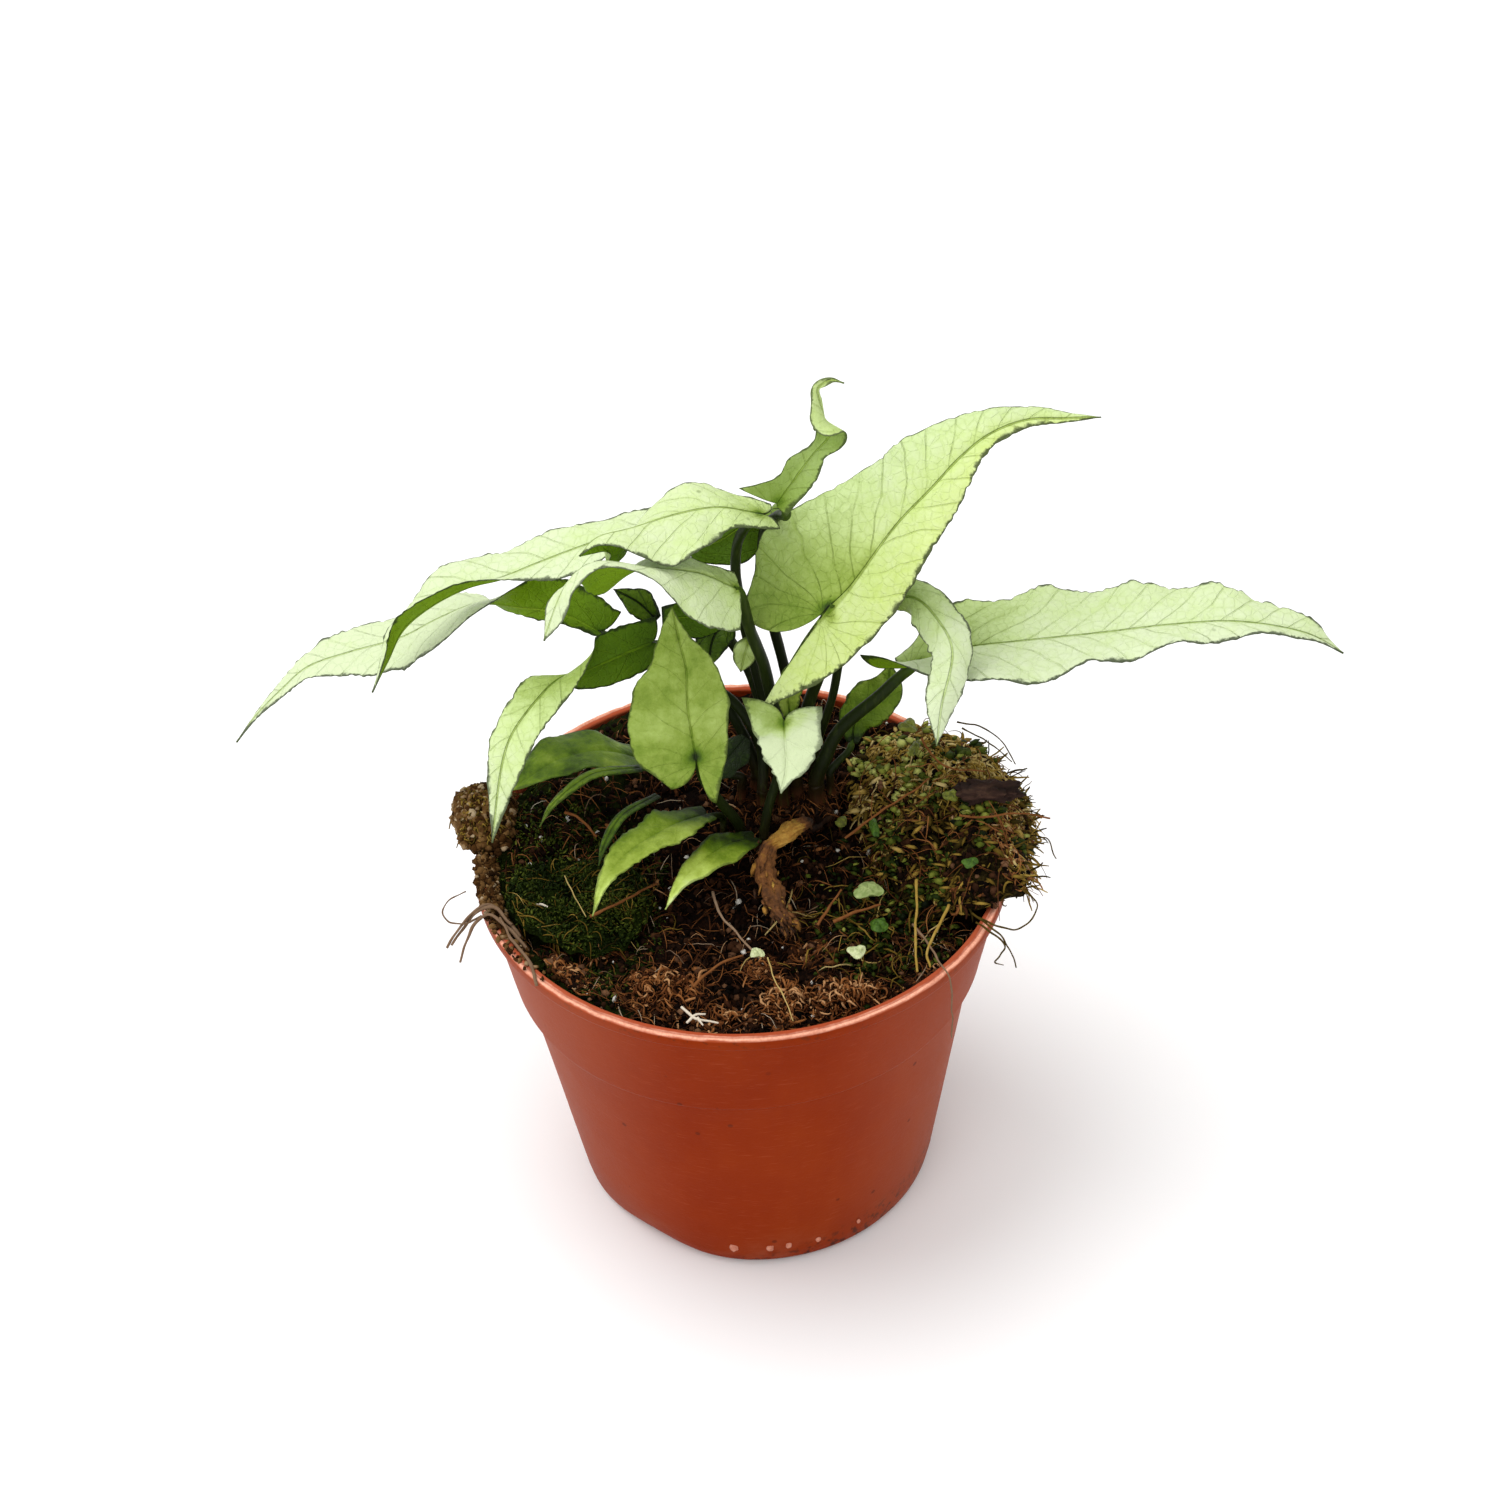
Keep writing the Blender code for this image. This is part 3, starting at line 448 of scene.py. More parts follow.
def makeSoil():
    # a disc of rings with a rough top, and plain rings down the inside of the pot
    r = soil["edge"] * np.linspace(0.004, 1, soil["rings"]) ** 0.8
    turn = np.linspace(0, 2 * np.pi, soil["turns"], endpoint=False)
    x, y = r[:, None] * np.cos(turn), r[:, None] * np.sin(turn)
    top = np.stack([x, y, roughSoil(x, y)], -1)[::-1]
    step = pot["height"] - pot["collar"]
    low = pot["floor"] + 0.35
    sides = [(20.0, low), (float(wallRadius(low)) - 1.75, low),
             (float(wallRadius(step - 1)) - 1.55, step - 1),
             (39.3, step + 4), (41.2, 64.5)]
    lower = np.stack([np.stack([rad * np.cos(turn), rad * np.sin(turn), 0 * turn + z], -1)
                      for rad, z in sides])
    cloud = settle(np.concatenate([lower, top]))
    points = np.concatenate([cloud.reshape(-1, 3), settle([[0, 0, low], [0, 0, 67.5]])])
    return points, closedFaces(*cloud.shape[:2])


def paintSoil():
    p = Paint("peat", Specular_IOR_Level=0.05)
    where = p.place()
    x, y, z = p.parts(where)
    mix = p.noise(where, 3.2, 5, 0.65)
    crumb = p.noise(where, 0.7, 4, 0.7)
    peat = p.scale((0.3, (0.0008, 0.0004, 0.0003)), (0.48, (0.0035, 0.0013, 0.0006)),
                   (0.6, (0.015, 0.005, 0.002)), (0.75, (0.06, 0.022, 0.009)), by=mix * 0.45 + crumb * 0.55)
    green = (x * -1000 - 16 + (mix - 0.5) * 14).ramp(0, 7)
    peat = p.blend(green * 0.8, peat, p.scale((0.35, (0.002, 0.004, 0.0006)), (0.7, (0.016, 0.026, 0.002)),
                                              by=crumb * 0.6 + mix * 0.4))
    return p.finish(peat, 0.93, crumb + mix * 1.5, 0.5)


soilPoints, soilFaces = makeSoil()
addPiece("pottingMix", soilPoints, soilFaces, {}, paintSoil(), ["soil"])
print("soil made")


# tubes, crumbs and leaflets
def tubes(paths, radii, sides):
    # round tubes along many paths (count, steps, 3): each ring is perpendicular to its path
    count, steps = paths.shape[:2]
    forward = unit(np.gradient(paths, axis=1))
    guide = np.where(np.abs(forward[:, :1, 2:3]) > 0.8, [[[1.0, 0.1, 0]]], [[[0.05, 0.1, 1.0]]])
    side = unit(np.cross(forward, guide))
    over = np.cross(side, forward)
    turn = np.linspace(0, 2 * np.pi, sides, endpoint=False)[:, None]
    ring = side[:, :, None] * np.cos(turn) + over[:, :, None] * np.sin(turn)
    cloud = paths[:, :, None] + ring * radii[:, :, None, None]
    first = np.arange(count)[:, None, None] * steps * sides
    walls = (gridFaces(steps, sides, loop=True, flip=True)[None] + first).reshape(-1, 4)
    ends = np.stack([np.arange(sides), (steps - 1) * sides + np.arange(sides)[::-1]])
    caps = (ends[None] + first).reshape(-1, sides)
    return cloud.reshape(-1, 3), [walls, caps]


def crumbs(centres, sizes, turns, rng):
    # small angular bodies: the twelve corners of an icosahedron, each pushed in or out, then stretched
    g = (1 + 5 ** 0.5) / 2
    base = unit(np.array([(-1, g, 0), (1, g, 0), (-1, -g, 0), (1, -g, 0), (0, -1, g), (0, 1, g),
                          (0, -1, -g), (0, 1, -g), (g, 0, -1), (g, 0, 1), (-g, 0, -1), (-g, 0, 1)]))
    faces = np.array([(0, 11, 5), (0, 5, 1), (0, 1, 7), (0, 7, 10), (0, 10, 11), (1, 5, 9), (5, 11, 4),
                      (11, 10, 2), (10, 7, 6), (7, 1, 8), (3, 9, 4), (3, 4, 2), (3, 2, 6), (3, 6, 8),
                      (3, 8, 9), (4, 9, 5), (2, 4, 11), (6, 2, 10), (8, 6, 7), (9, 8, 1)])
    count = len(centres)
    push = 1 + rng.uniform(-0.28, 0.28, (count, 12, 1))
    local = base[None] * push * sizes[:, None]
    c, s = np.cos(turns), np.sin(turns)
    spun = np.stack([local[..., 0] * c[:, None] - local[..., 1] * s[:, None],
                     local[..., 0] * s[:, None] + local[..., 1] * c[:, None], local[..., 2]], -1)
    points = (centres[:, None] + spun).reshape(-1, 3)
    return points, [(faces[None] + 12 * np.arange(count)[:, None, None]).reshape(-1, 3)]


def leaflets(starts, ways, faceWays, lengths, widths, dome=0.25, blunt=0.7):
    # small closed leaves: six points round a pointed oval and one above and below its middle
    ways = unit(ways)
    sides = unit(np.cross(ways, faceWays))
    ups = np.cross(sides, ways)
    along = np.array([0, 0.3, blunt, 1.0, blunt, 0.3])[None, :, None]
    across = np.array([0, 1, 0.85, 0, -0.85, -1])[None, :, None] * 0.5
    count = len(starts)
    l, w = lengths[:, None, None], widths[:, None, None]
    droop = -ups[:, None] * l * 0.22 * along ** 2
    ring = starts[:, None] + ways[:, None] * along * l + sides[:, None] * across * w + droop
    middle = starts + (ways * 0.45 - ups * 0.05) * lengths[:, None]
    topPoint = middle + ups * widths[:, None] * dome
    lowPoint = middle - ups * widths[:, None] * 0.1
    points = np.concatenate([ring, topPoint[:, None], lowPoint[:, None]], 1).reshape(-1, 3)
    j = np.arange(6)
    k = (j + 1) % 6
    faces = np.concatenate([np.stack([k, j, 0 * j + 6], -1), np.stack([j, k, 0 * j + 7], -1)])
    return points, [(faces[None] + 8 * np.arange(count)[:, None, None]).reshape(-1, 3)]


def paintFibre(name, stops, rough=0.85, vary=0.25, size=1.2):
    # tint from 0 to 1 along the ramp, with a little noise along each piece
    p = Paint(name, Specular_IOR_Level=0.06)
    where = p.place()
    tint = p.field("tint") + (p.noise(where, size, 3) - 0.5) * vary
    return p.finish(p.scale(*stops, by=tint), rough, p.noise(where, 0.3, 2), 0.06)


print("helpers ready")

# leaves
blade = dict(thick=0.34, edge=0.12, rowStep=0.32, columnStep=0.42, veinGap=5.6, veinSlope=1.35)
leafShapes = {
    "leaf_right_long": dict(tooth=1.7,
        mid=[(30, 13, 102), (38, 13, 105), (48, 12, 107), (61, 11, 109), (72, 10, 111),
             (83, 9, 112), (94, 8, 110), (101, 7, 106)],
        left=[4, 11, 12, 11.5, 10.5, 9, 7, 4, 0], right=[6, 11.5, 11.2, 9.6, 8.2, 7, 5, 2.5, 0],
        foldL=[10, 10, 14, 18], foldR=[80, 22, 6, 8, 11, 14, 16, 18, 20], lobe=(4, 8), wave=0.9, waves=5),
    "leaf_upper_right": dict(tooth=1.3,
        mid=[(15, 8, 119), (19, 9, 123), (26, 12, 132), (32, 14, 138), (37, 17, 142),
             (42, 19, 145), (48, 21, 146), (54, 21, 146), (60, 21, 146)],
        face=(0, -0.5, 0.87), left=[11, 17.5, 13.5, 10, 9, 6, 3, 1.5, 0],
        right=[2, 6.5, 8, 7, 5, 2.6, 1.6, 1, 0], foldL=[8, 8], foldR=[8, 8], lobe=(12, 20), hang=(1, 7)),
    "leaf_arching_right": dict(
        mid=[(23, 15, 114), (29, 11, 118), (33, 6.5, 116.5), (35, 1.5, 113.5), (33, -3, 106), (32, -6, 100)],
        face=(0.5, -0.5, 0.7), left=[1, 3.5, 4.2, 4.0, 3.5, 2.6, 0], right=[1, 3.6, 4.1, 4.1, 3.5, 2.3, 0],
        foldL=[10, 10], foldR=[-70, -65, -55, 0], lobe=(1, 1), wave=0.3),
    "leaf_upper_left": dict(tooth=1.5,
        mid=[(-12, 17, 131), (-24, 17, 127), (-33, 16, 124), (-39, 15, 122), (-45, 14, 121),
             (-51, 12, 119), (-56, 11, 115), (-59, 9, 110), (-62, 8, 104)],
        left=[4, 6, 6, 5, 3, 3, 3, 2, 0], right=[4, 5, 5.5, 6, 7, 6, 4, 2, 0],
        foldL=[5, 5, 5, 20, 65, 75, 70, 10], foldR=[12, 12, 10], lobe=(3, 3)),
    "leaf_far_left": dict(tooth=1.9,
        mid=[(-24, 20, 106), (-30, 21, 109), (-37, 21, 111), (-44, 21, 112), (-51, 21, 109),
             (-58, 21, 105), (-67, 20, 103), (-74, 19, 101), (-79, 18, 97), (-84, 17, 92),
             (-88, 16, 87)],
        left=[5, 6, 7, 9, 9.5, 8, 5, 3, 1, 0], right=[1, 2, 3, 6, 7, 6, 5, 3, 1, 0],
        roll=[-110, -100, -30, 0, 0, 0, 0, 0], foldL=[5, 8], foldR=[5, 10], lobe=(2, 2)),
    "leaf_top_centre": dict(tooth=1.3,
        mid=[(4, 13, 135), (-3, 11, 138), (-10, 8, 139), (-17, 5, 139), (-22, 3, 139), (-25, 2, 136)],
        left=[3, 4.2, 5.6, 7.8, 8.2, 5.2, 2, 0], right=[3, 6, 7, 7, 7.2, 7.4, 6.4, 0],
        foldL=[0, -5, -14, -20, -10, 0], foldR=[5, 5, 5, 0, -30, -70, -84, -84], lobe=(3, 3)),
    "leaf_arching_centre": dict(
        mid=[(0, 6, 125), (-6, 3, 131), (-14, 0, 135), (-22, -2, 138), (-27, -5, 136), (-31, -8, 127)],
        left=[6.5, 9, 8.4, 5.5, 2.4, 2.4, 3.4, 3.0, 0], right=[4, 5, 5.5, 8.4, 10.4, 9, 5, 2.8, 0],
        foldL=[-38, -42, -34, -14, 6, 12, 10, 8, 5], foldR=[10, 5, -5, -30, -66, -74, -62, -22, 0],
        lobe=(1, 1), camber=0),
    "leaf_front_upright": dict(
        mid=[(-8, -2, 96), (-9, 2, 103), (-9, 5, 109), (-10, 8, 113), (-11, 12, 117)],
        face=(0, -0.8, 0.6), left=[5, 10, 10.5, 9.5, 8.5, 6.5, 4.5, 2.5, 0],
        right=[2.2, 5.4, 6.6, 7, 6, 4.5, 2.5, 1, 0], foldL=[8, 8], foldR=[8, 8], lobe=(5, 8.4)),
    "leaf_left_hanging": dict(tooth=1.4,
        mid=[(-15, 15, 107), (-20, 12, 107), (-25, 9, 107), (-30, 4, 109), (-34, -2, 109),
             (-38, -7, 106), (-40, -11, 101), (-42, -15, 90)],
        left=[4, 5, 5, 4.5, 4.5, 4, 2, 0], right=[4, 5, 5, 4.5, 4, 3, 1.5, 0],
        roll=[-110, -105, -60, 0, 0, 0, 0, 0], foldL=[8, 8], foldR=[8, 8], lobe=(2, 2)),
    "leaf_unrolling_top": dict(
        mid=[(7, 12, 138), (10, 13, 142), (13, 14, 146), (16, 15, 149), (15, 15, 152),
             (14, 15, 156), (14, 15, 158), (16, 14, 160), (18, 13, 160)],
        face=(-0.3, 0.75, -0.6), left=[2.5, 2.8, 2.8, 2, 3, 4.5, 1.5, 0.7, 0],
        right=[7, 3, 2.8, 1.5, 3, 2.5, 0.7, 0.7, 0], roll=[0, 0, 0, 0, 90, 150, 180, 180],
        foldL=[-10, -10], foldR=[-10, -10], lobe=(1, 1), wave=0.2),
    "leaf_small_heart": dict(tooth=3.0,
        mid=[(7, 0, 101), (7, -4, 100), (7, -8, 98), (6, -12, 96)],
        face=(0, -0.5, 0.87), left=[6.5, 6.2, 5.5, 3.8, 1.6, 0], right=[7, 4.8, 4.4, 3, 1.5, 0],
        foldL=[5, 5], foldR=[5, 5], lobe=(3.5, 5), sweep=0.3),
    "leaf_low_left": dict(
        mid=[(-18, 17, 79), (-25, 15, 83), (-32, 12, 84), (-37, 9, 83), (-42, 6, 82)],
        left=[3, 5, 5, 3, 0], right=[3, 5, 6, 4, 0], foldL=[8, 8], foldR=[8, 8], lobe=(1, 1)),
    "leaf_low_front": dict(tooth=1.5,
        mid=[(-7, 2, 79), (-13, -4, 82), (-20, -10, 82), (-24, -16, 81), (-26, -22, 79)],
        left=[2, 4, 4, 3, 1.2, 0], right=[2, 4, 4, 3, 1.2, 0], foldL=[8, 8], foldR=[8, 8],
        lobe=(1, 1)),
    "leaf_low_middle": dict(
        mid=[(1, 0, 75), (-4, -4, 77), (-9, -9, 77), (-12, -14, 77), (-14, -18, 76)],
        left=[1.5, 4, 4, 3, 1.2, 0], right=[1.5, 3.2, 3, 2, 1, 0], foldL=[8, 8], foldR=[8, 8],
        lobe=(1, 1)),
    "leaf_narrow_front": dict(
        mid=[(-15, 4, 82), (-21, -2, 83), (-24, -8, 82), (-25, -12, 81)],
        left=[0.8, 1, 1, 0.8, 0], right=[0.8, 1, 1, 0.8, 0], foldL=[8, 8], foldR=[8, 8], wave=0.1),
    "leaf_narrow_left": dict(
        mid=[(-18, 10, 83), (-25, 7, 85), (-29, 4, 85), (-33, 0, 84), (-35, -4, 83)],
        left=[1, 1.2, 1.2, 0.8, 0], right=[1, 1.2, 1.2, 0.8, 0], foldL=[8, 8], foldR=[8, 8], wave=0.1),
    "leaf_sheath_right": dict(
        mid=[(19, 17, 81), (20, 19, 85), (25, 21, 90), (26, 23, 94)],
        face=(0, -0.7, 0.7), left=[1, 3, 4, 3, 0], right=[1, 3, 4, 3, 0], foldL=[8, 8],
        foldR=[8, 8], wave=0.2),
    "leaf_young_centre": dict(
        mid=[(8, 6, 97), (8, 7, 102), (10, 8, 109)],
        face=(0, -0.8, 0.6), left=[1, 2, 2.4, 2, 0], right=[1, 2, 2.4, 2, 0], foldL=[30, 30],
        foldR=[30, 30], wave=0.1),
    "leaf_shaded_top": dict(
        mid=[(-8, 23, 121), (-3, 23, 122), (2, 22.5, 126), (7, 22, 129), (10, 19.5, 128)],
        left=[2.5, 5, 5.4, 3.4, 0], right=[2.5, 5, 5.4, 3.4, 0], roll=[100, 100, 90, 20, 0],
        foldL=[0, 0], foldR=[0, 0]),
    "leaf_shaded_centre": dict(
        mid=[(-13, 18, 110), (-8, 18, 110), (-2, 16, 113), (1.5, 13.5, 116.5)],
        left=[2, 4, 4, 2, 0], right=[2, 4, 4, 2, 0], roll=[100, 100, 90, 20, 0],
        foldL=[0, 0], foldR=[0, 0]),
    "leaf_shaded_back": dict(
        mid=[(-1.5, 22, 107), (-4.5, 19, 104), (-5.5, 16, 100)],
        face=(0, -0.5, 0.87), left=[1, 3, 3, 2, 0], right=[1, 3, 3, 2, 0], foldL=[8, 8],
        foldR=[8, 8]),
    "leaf_shaded_low": dict(
        mid=[(0.5, 12, 87.5), (-3, 9, 85), (-7, 6, 82)],
        left=[1, 3.5, 3.5, 2, 0], right=[1, 3.5, 3.5, 2, 0], foldL=[8, 8], foldR=[8, 8]),
    "leaf_small_back": dict(
        mid=[(-14, 21, 107), (-17, 21, 111), (-21, 21, 114)],
        face=(0, -0.8, 0.6), left=[1, 2, 2.5, 1.5, 0], right=[1, 2, 2.5, 1.5, 0],
        foldL=[8, 8], foldR=[8, 8], wave=0.1),
    "leaf_small_pale": dict(
        mid=[(2, 13, 109), (1, 12, 107), (0, 10, 104)],
        face=(0, -0.8, 0.6), left=[0.6, 1.8, 2, 1.5, 0], right=[0.6, 1.8, 2, 1.5, 0],
        foldL=[8, 8], foldR=[8, 8], wave=0.1),
}
# how each blade is coloured: pale 0 deep green to 1 near white; tip and side change it towards the tip and the
# right half; foot is painted shade: it darkens the left and right halves near the stalk, over that share of
# the length; warm turns it from cool to yellow green, and a side share of warm is painted backlight, yellower
# on the right half and cooler on the left; veined scales the veins; edge scales the dark line along the left
# and right margins; under mixes the upper colour into the lower side; the shaded leaves get low pale values,
# painted shade for where they lie
leafLooks = {
    "leaf_right_long": dict(pale=0.95, tip=0.04, side=0.05, warm=0.12, foot=(0.38, 0.05, 0.34), veined=0.85,
                            edge=(0.7, 1.3)),
    "leaf_upper_right": dict(pale=0.89, tip=0.02, side=0.04, warm=0.45, backlitSide=0.4, foot=(0.48, 0.0, 0.34),
                             veined=0.85, edge=(0.3, 1.0)),
    "leaf_arching_right": dict(pale=0.96, tip=0.10, warm=0.12, foot=(0.45, 0.45, 0.55),
                               edge=(0.9, 0.7), veined=0.7),
    "leaf_upper_left": dict(pale=0.97, warm=0.15, foot=(0.2, 0.2, 0.1), edge=(1.1, 0.7), veined=0.8),
    "leaf_far_left": dict(pale=1.04, warm=0.15, foot=(0.3, 0.3, 0.25), edge=(1.1, 0.7), veined=0.8),
    "leaf_top_centre": dict(pale=0.91, warm=0.22, foot=(0.2, 0.2, 0.3), edge=(1.0, 0.7), veined=0.8),
    "leaf_arching_centre": dict(pale=0.98, tip=0.06, warm=0.18, foot=(0.10, 0.25, 0.5),
                                edge=(0.8, 0.6), veined=0.7),
    "leaf_front_upright": dict(pale=0.53, tip=-0.03, side=0.02, warm=0.45, slot="leaf_green", veined=0.38,
                               edge=(0.6, 0.6)),
    "leaf_left_hanging": dict(pale=0.82, tip=0.36, warm=0.22, foot=(0.42, 0.42, 0.72), veined=0.75,
                              edge=(0.7, 0.9)),
    "leaf_unrolling_top": dict(pale=0.80, warm=0.3, under=0.4, slot="leaf_green", veined=0.6,
                               edge=(0.8, 0.5)),
    "leaf_small_heart": dict(pale=1.10, tip=0.12, warm=0.2, foot=(0.3, 0.5, 0.34), veined=0.3,
                             edge=(1.0, 0.8)),
    "leaf_low_left": dict(pale=0.25, tip=0.20, warm=0.65, slot="leaf_green", veined=0.05),
    "leaf_low_front": dict(pale=0.50, tip=0.46, side=-0.10, warm=0.85, slot="leaf_green",
                           foot=(0.30, 0.34, 0.55), veined=0.1),
    "leaf_low_middle": dict(pale=0.54, tip=0.7, warm=0.95, slot="leaf_green", side=-0.12,
                            foot=(0.30, 0.30, 0.6), veined=0.08),
    "leaf_narrow_front": dict(pale=0.20, tip=0.1, warm=0.6, slot="leaf_green", veined=0.4),
    "leaf_narrow_left": dict(pale=0.34, tip=0.2, warm=0.7, slot="leaf_green", veined=0.4),
    "leaf_sheath_right": dict(pale=0.34, tip=0.1, warm=0.6, veined=0.5),
    "leaf_young_centre": dict(pale=0.50, warm=0.7, veined=0.4),
    # painted shade: the four shaded leaves get low pale values, dark for the shade they lie in
    "leaf_shaded_top": dict(pale=0.35, warm=0.5, slot="leaf_green"),
    "leaf_shaded_centre": dict(pale=0.35, warm=0.5, slot="leaf_green"),
    "leaf_shaded_back": dict(pale=0.22, warm=0.4, slot="leaf_green"),
    "leaf_shaded_low": dict(pale=0.04, warm=0.3, slot="leaf_green"),
    "leaf_small_back": dict(pale=0.30, warm=0.5, slot="leaf_green"),
    "leaf_small_pale": dict(pale=0.70, warm=0.4, veined=0.4),
}


def bladeGrid(leaf, rows, columns):
    # the solid blade's formula on a finer grid, though some blades are wider or folded further than their
    # solids: midrib curve + half width along the folded side direction x |v|^(1 + 0.9 sweep), pulled back by
    # the basal lobes x sin(|v| pi/2), with a wavy and toothed margin
    u = np.linspace(0, 1, rows)
    t0 = np.linspace(-1, 1, columns)
    v = np.sign(t0) * np.abs(t0) ** 1.15
    dense = np.linspace(0, 1, 401)
    path = spline(leaf["mid"], dense)
    run = np.concatenate([[0], np.cumsum(np.linalg.norm(np.diff(path, axis=0), axis=1))])
    t = np.interp(u * run[-1], run, dense)
    middle = spline(leaf["mid"], t)
    forward = unit(spline(leaf["mid"], np.clip(t + 1e-3, 0, 1))
                   - spline(leaf["mid"], np.clip(t - 1e-3, 0, 1)))
    side = unit(np.cross(forward, np.array(leaf.get("face", (0, 0, 1)), float)))
    up = np.cross(side, forward)
    roll = np.radians(spline(leaf.get("roll", [0, 0]), u))
    side, up = np.cos(roll) * side + np.sin(roll) * up, np.cos(roll) * up - np.sin(roll) * side
    a = np.abs(v)[None, :]
    isLeft = (v < 0)[None, :]
    sign = np.sign(v)[None, :]
    far = u[:, None] > 0.1
    left, right = spline(leaf["left"], u), spline(leaf["right"], u)
    left, right = [np.where(far, np.maximum(w, 0.12), w) for w in (left, right)]
    width = np.where(isLeft, left, right)
    fold = np.radians(np.where(isLeft, spline(leaf["foldL"], u), spline(leaf["foldR"], u)))
    lobe = np.where(isLeft, *leaf.get("lobe", (0, 0)))
    length = run[-1]
    part = np.clip(1 - u / leaf.get("sweep", 0.35), 0, 1)[:, None]
    sweep = part ** 2
    s = u[:, None] * length
    margin = a ** 8 * np.clip(width / 3, 0, 1) * np.clip(np.minimum(s, length - s) / 3, 0, 1)
    toothPlace = np.stack([s + 0 * a, sign * 7.0 + 0 * s, 0 * s * a + leaf["mid"][0][0]], -1)
    tooth = lumps(toothPlace, 0.7) * 0.19 + lumps(toothPlace, 2.3) * 0.2
    across = width * a ** (1 + 0.9 * sweep) + margin * tooth * leaf.get("tooth", 1.0)
    outward = (side[:, None] * (sign * np.cos(fold))[..., None] + up[:, None] * np.sin(fold)[..., None])
    wave = leaf.get("wave", 0.6) * np.clip(width / 6, 0, 1) * a ** 2 * np.sin(
        2 * np.pi * (leaf.get("waves", 3.3) * u[:, None] + 0.27 * sign))
    ruffle = a ** 5 * np.clip(width / 5, 0, 1) * (0.5 * lumps(toothPlace, 5.3, 1.7)
                                                  + 0.2 * lumps(toothPlace, 2.1, 4.1))
    back = lobe * sweep * np.sin(a * np.pi / 2)
    flatX, flatY = sign * across, s - back
    # vein count: side veins leave the midrib forwards, and fan out from its foot in the basal lobes
    ahead = (flatY - blade["veinSlope"] * np.abs(flatX) + 0.03 * flatX ** 2) / blade["veinGap"]
    fan = np.arctan2(np.abs(flatX), flatY + 1.5)
    vein = np.where(ahead > 0, ahead, -(fan - math.atan(1 / blade["veinSlope"])) * 2.4)
    flat = np.stack([flatX, flatY, 0 * flatX + leaf["mid"][0][1]], -1)
    vein = vein + 0.3 * sign + 0.5 * lumps(flat, 11.0) + 0.12 * lumps(flat, 3.5)
    ridge = 1 - np.abs((vein % 1.0) - 0.5) * 2  # 1 half way between two side veins, 0 on a vein
    calm = smooth(0, 0.25, a) * smooth(0, 0.2, 1 - a) * np.clip(width / 6, 0, 1)
    quilt = (1 - (1 - ridge) ** 2) * 0.10 * calm
    puff = (lumps(flat, 3.1) * 0.17 + lumps(flat, 1.3) * 0.06) * calm
    swell = wave + ruffle - leaf.get("camber", 0.1) * width * a ** 2 + quilt + puff
    surface = (middle[:, None] + outward * across[..., None] - forward[:, None] * back[..., None]
               + up[:, None] * swell[..., None])
    surface[..., 2] -= np.where(isLeft, *leaf.get("hang", (0, 0))) * part ** 2 * np.sin(a * np.pi / 2)
    rim = np.minimum((1 - a) * np.abs(width),
                     s * (1 + 2 * lobe * np.sin(a * np.pi / 2) * part / (0.35 * length)) + 0.1)
    rim = np.minimum(rim, (length - s) * 0.6 + 0.05)
    return surface, dict(flatX=flatX, knot=np.hypot(flatX, flatY), vein=vein, rim=rim, u=u[:, None] + 0 * a,
                         v=v[None, :] + 0 * s)


def makeLeaf(node, leaf, look):
    probe = spline(leaf["mid"], np.linspace(0, 1, 60))
    length = np.linalg.norm(np.diff(probe, axis=0), axis=1).sum()
    wide = float(np.max(leaf["left"]) + np.max(leaf["right"]))
    rows = int(np.clip(length / blade["rowStep"], 40, 230))
    columns = int(np.clip(wide / blade["columnStep"], 10, 46)) // 2 * 2 + 1
    surface, data = bladeGrid(leaf, rows, columns)
    normal = unit(np.cross(np.gradient(surface, axis=1), np.gradient(surface, axis=0)) + 1e-9)
    a = np.abs(data["v"])
    half = 0.5 * (blade["thick"] + (blade["edge"] - blade["thick"]) * a ** 3)
    groove = np.exp(-(data["flatX"] / 0.42) ** 2) * np.clip(wide / 12, 0.3, 1) * smooth(1, 0.85, data["u"])
    upper = surface + normal * (half - 0.16 * groove)[..., None]
    lower = surface - normal * (half + 0.22 * groove)[..., None]
    points = np.concatenate([upper.reshape(-1, 3), lower.reshape(-1, 3)])
    below = rows * columns
    border = np.concatenate([np.arange(columns), np.arange(1, rows) * columns + columns - 1,
                             (rows - 1) * columns + np.arange(columns - 2, -1, -1),
                             np.arange(rows - 2, 0, -1) * columns])
    following = np.roll(border, -1)
    walls = np.stack([following, border, border + below, following + below], -1)
    faces = [gridFaces(rows, columns), gridFaces(rows, columns, below, flip=True), walls]
    u, v = data["u"], data["v"]
    footLeft, footRight, footReach = look.get("foot", (0.1, 0.1, 0.3))
    # painted shade: the blade is painted darker near the stalk
    foot = np.where(v < 0, footLeft, footRight) * (1 - np.abs(v) * 0.35) * smooth(footReach, 0, u)
    shade = look["pale"] + look.get("tip", 0) * (u - 0.5) + look.get("side", 0) * v - foot
    shade = shade - 0.4 * np.exp(-(data["knot"] / 1.2) ** 2)  # dark knot where the stalk joins
    # painted backlight: the side share of warm makes the right half yellower and the left half cooler
    warm = look.get("warm", 0.3) + look.get("backlitSide", 0) * v
    edgeLeft, edgeRight = look.get("edge", (0.7, 0.8))
    rim = data["rim"] / np.where(v < 0, edgeLeft, edgeRight)
    twice = lambda values: np.concatenate([values.ravel(), values.ravel()])
    fields = {
        "veins": np.stack([twice(data["flatX"]), twice(data["vein"]), twice(rim)], -1),
        "tones": np.stack([twice(shade), twice(warm + 0 * u),
                           np.repeat([1.0, look.get("under", 0.0)], below)], -1),
        "veining": np.full(2 * below, look.get("veined", 1.0))}
    name = "blade_" + node[5:]
    addPiece(name, points, faces, fields, leafPaint, [node])


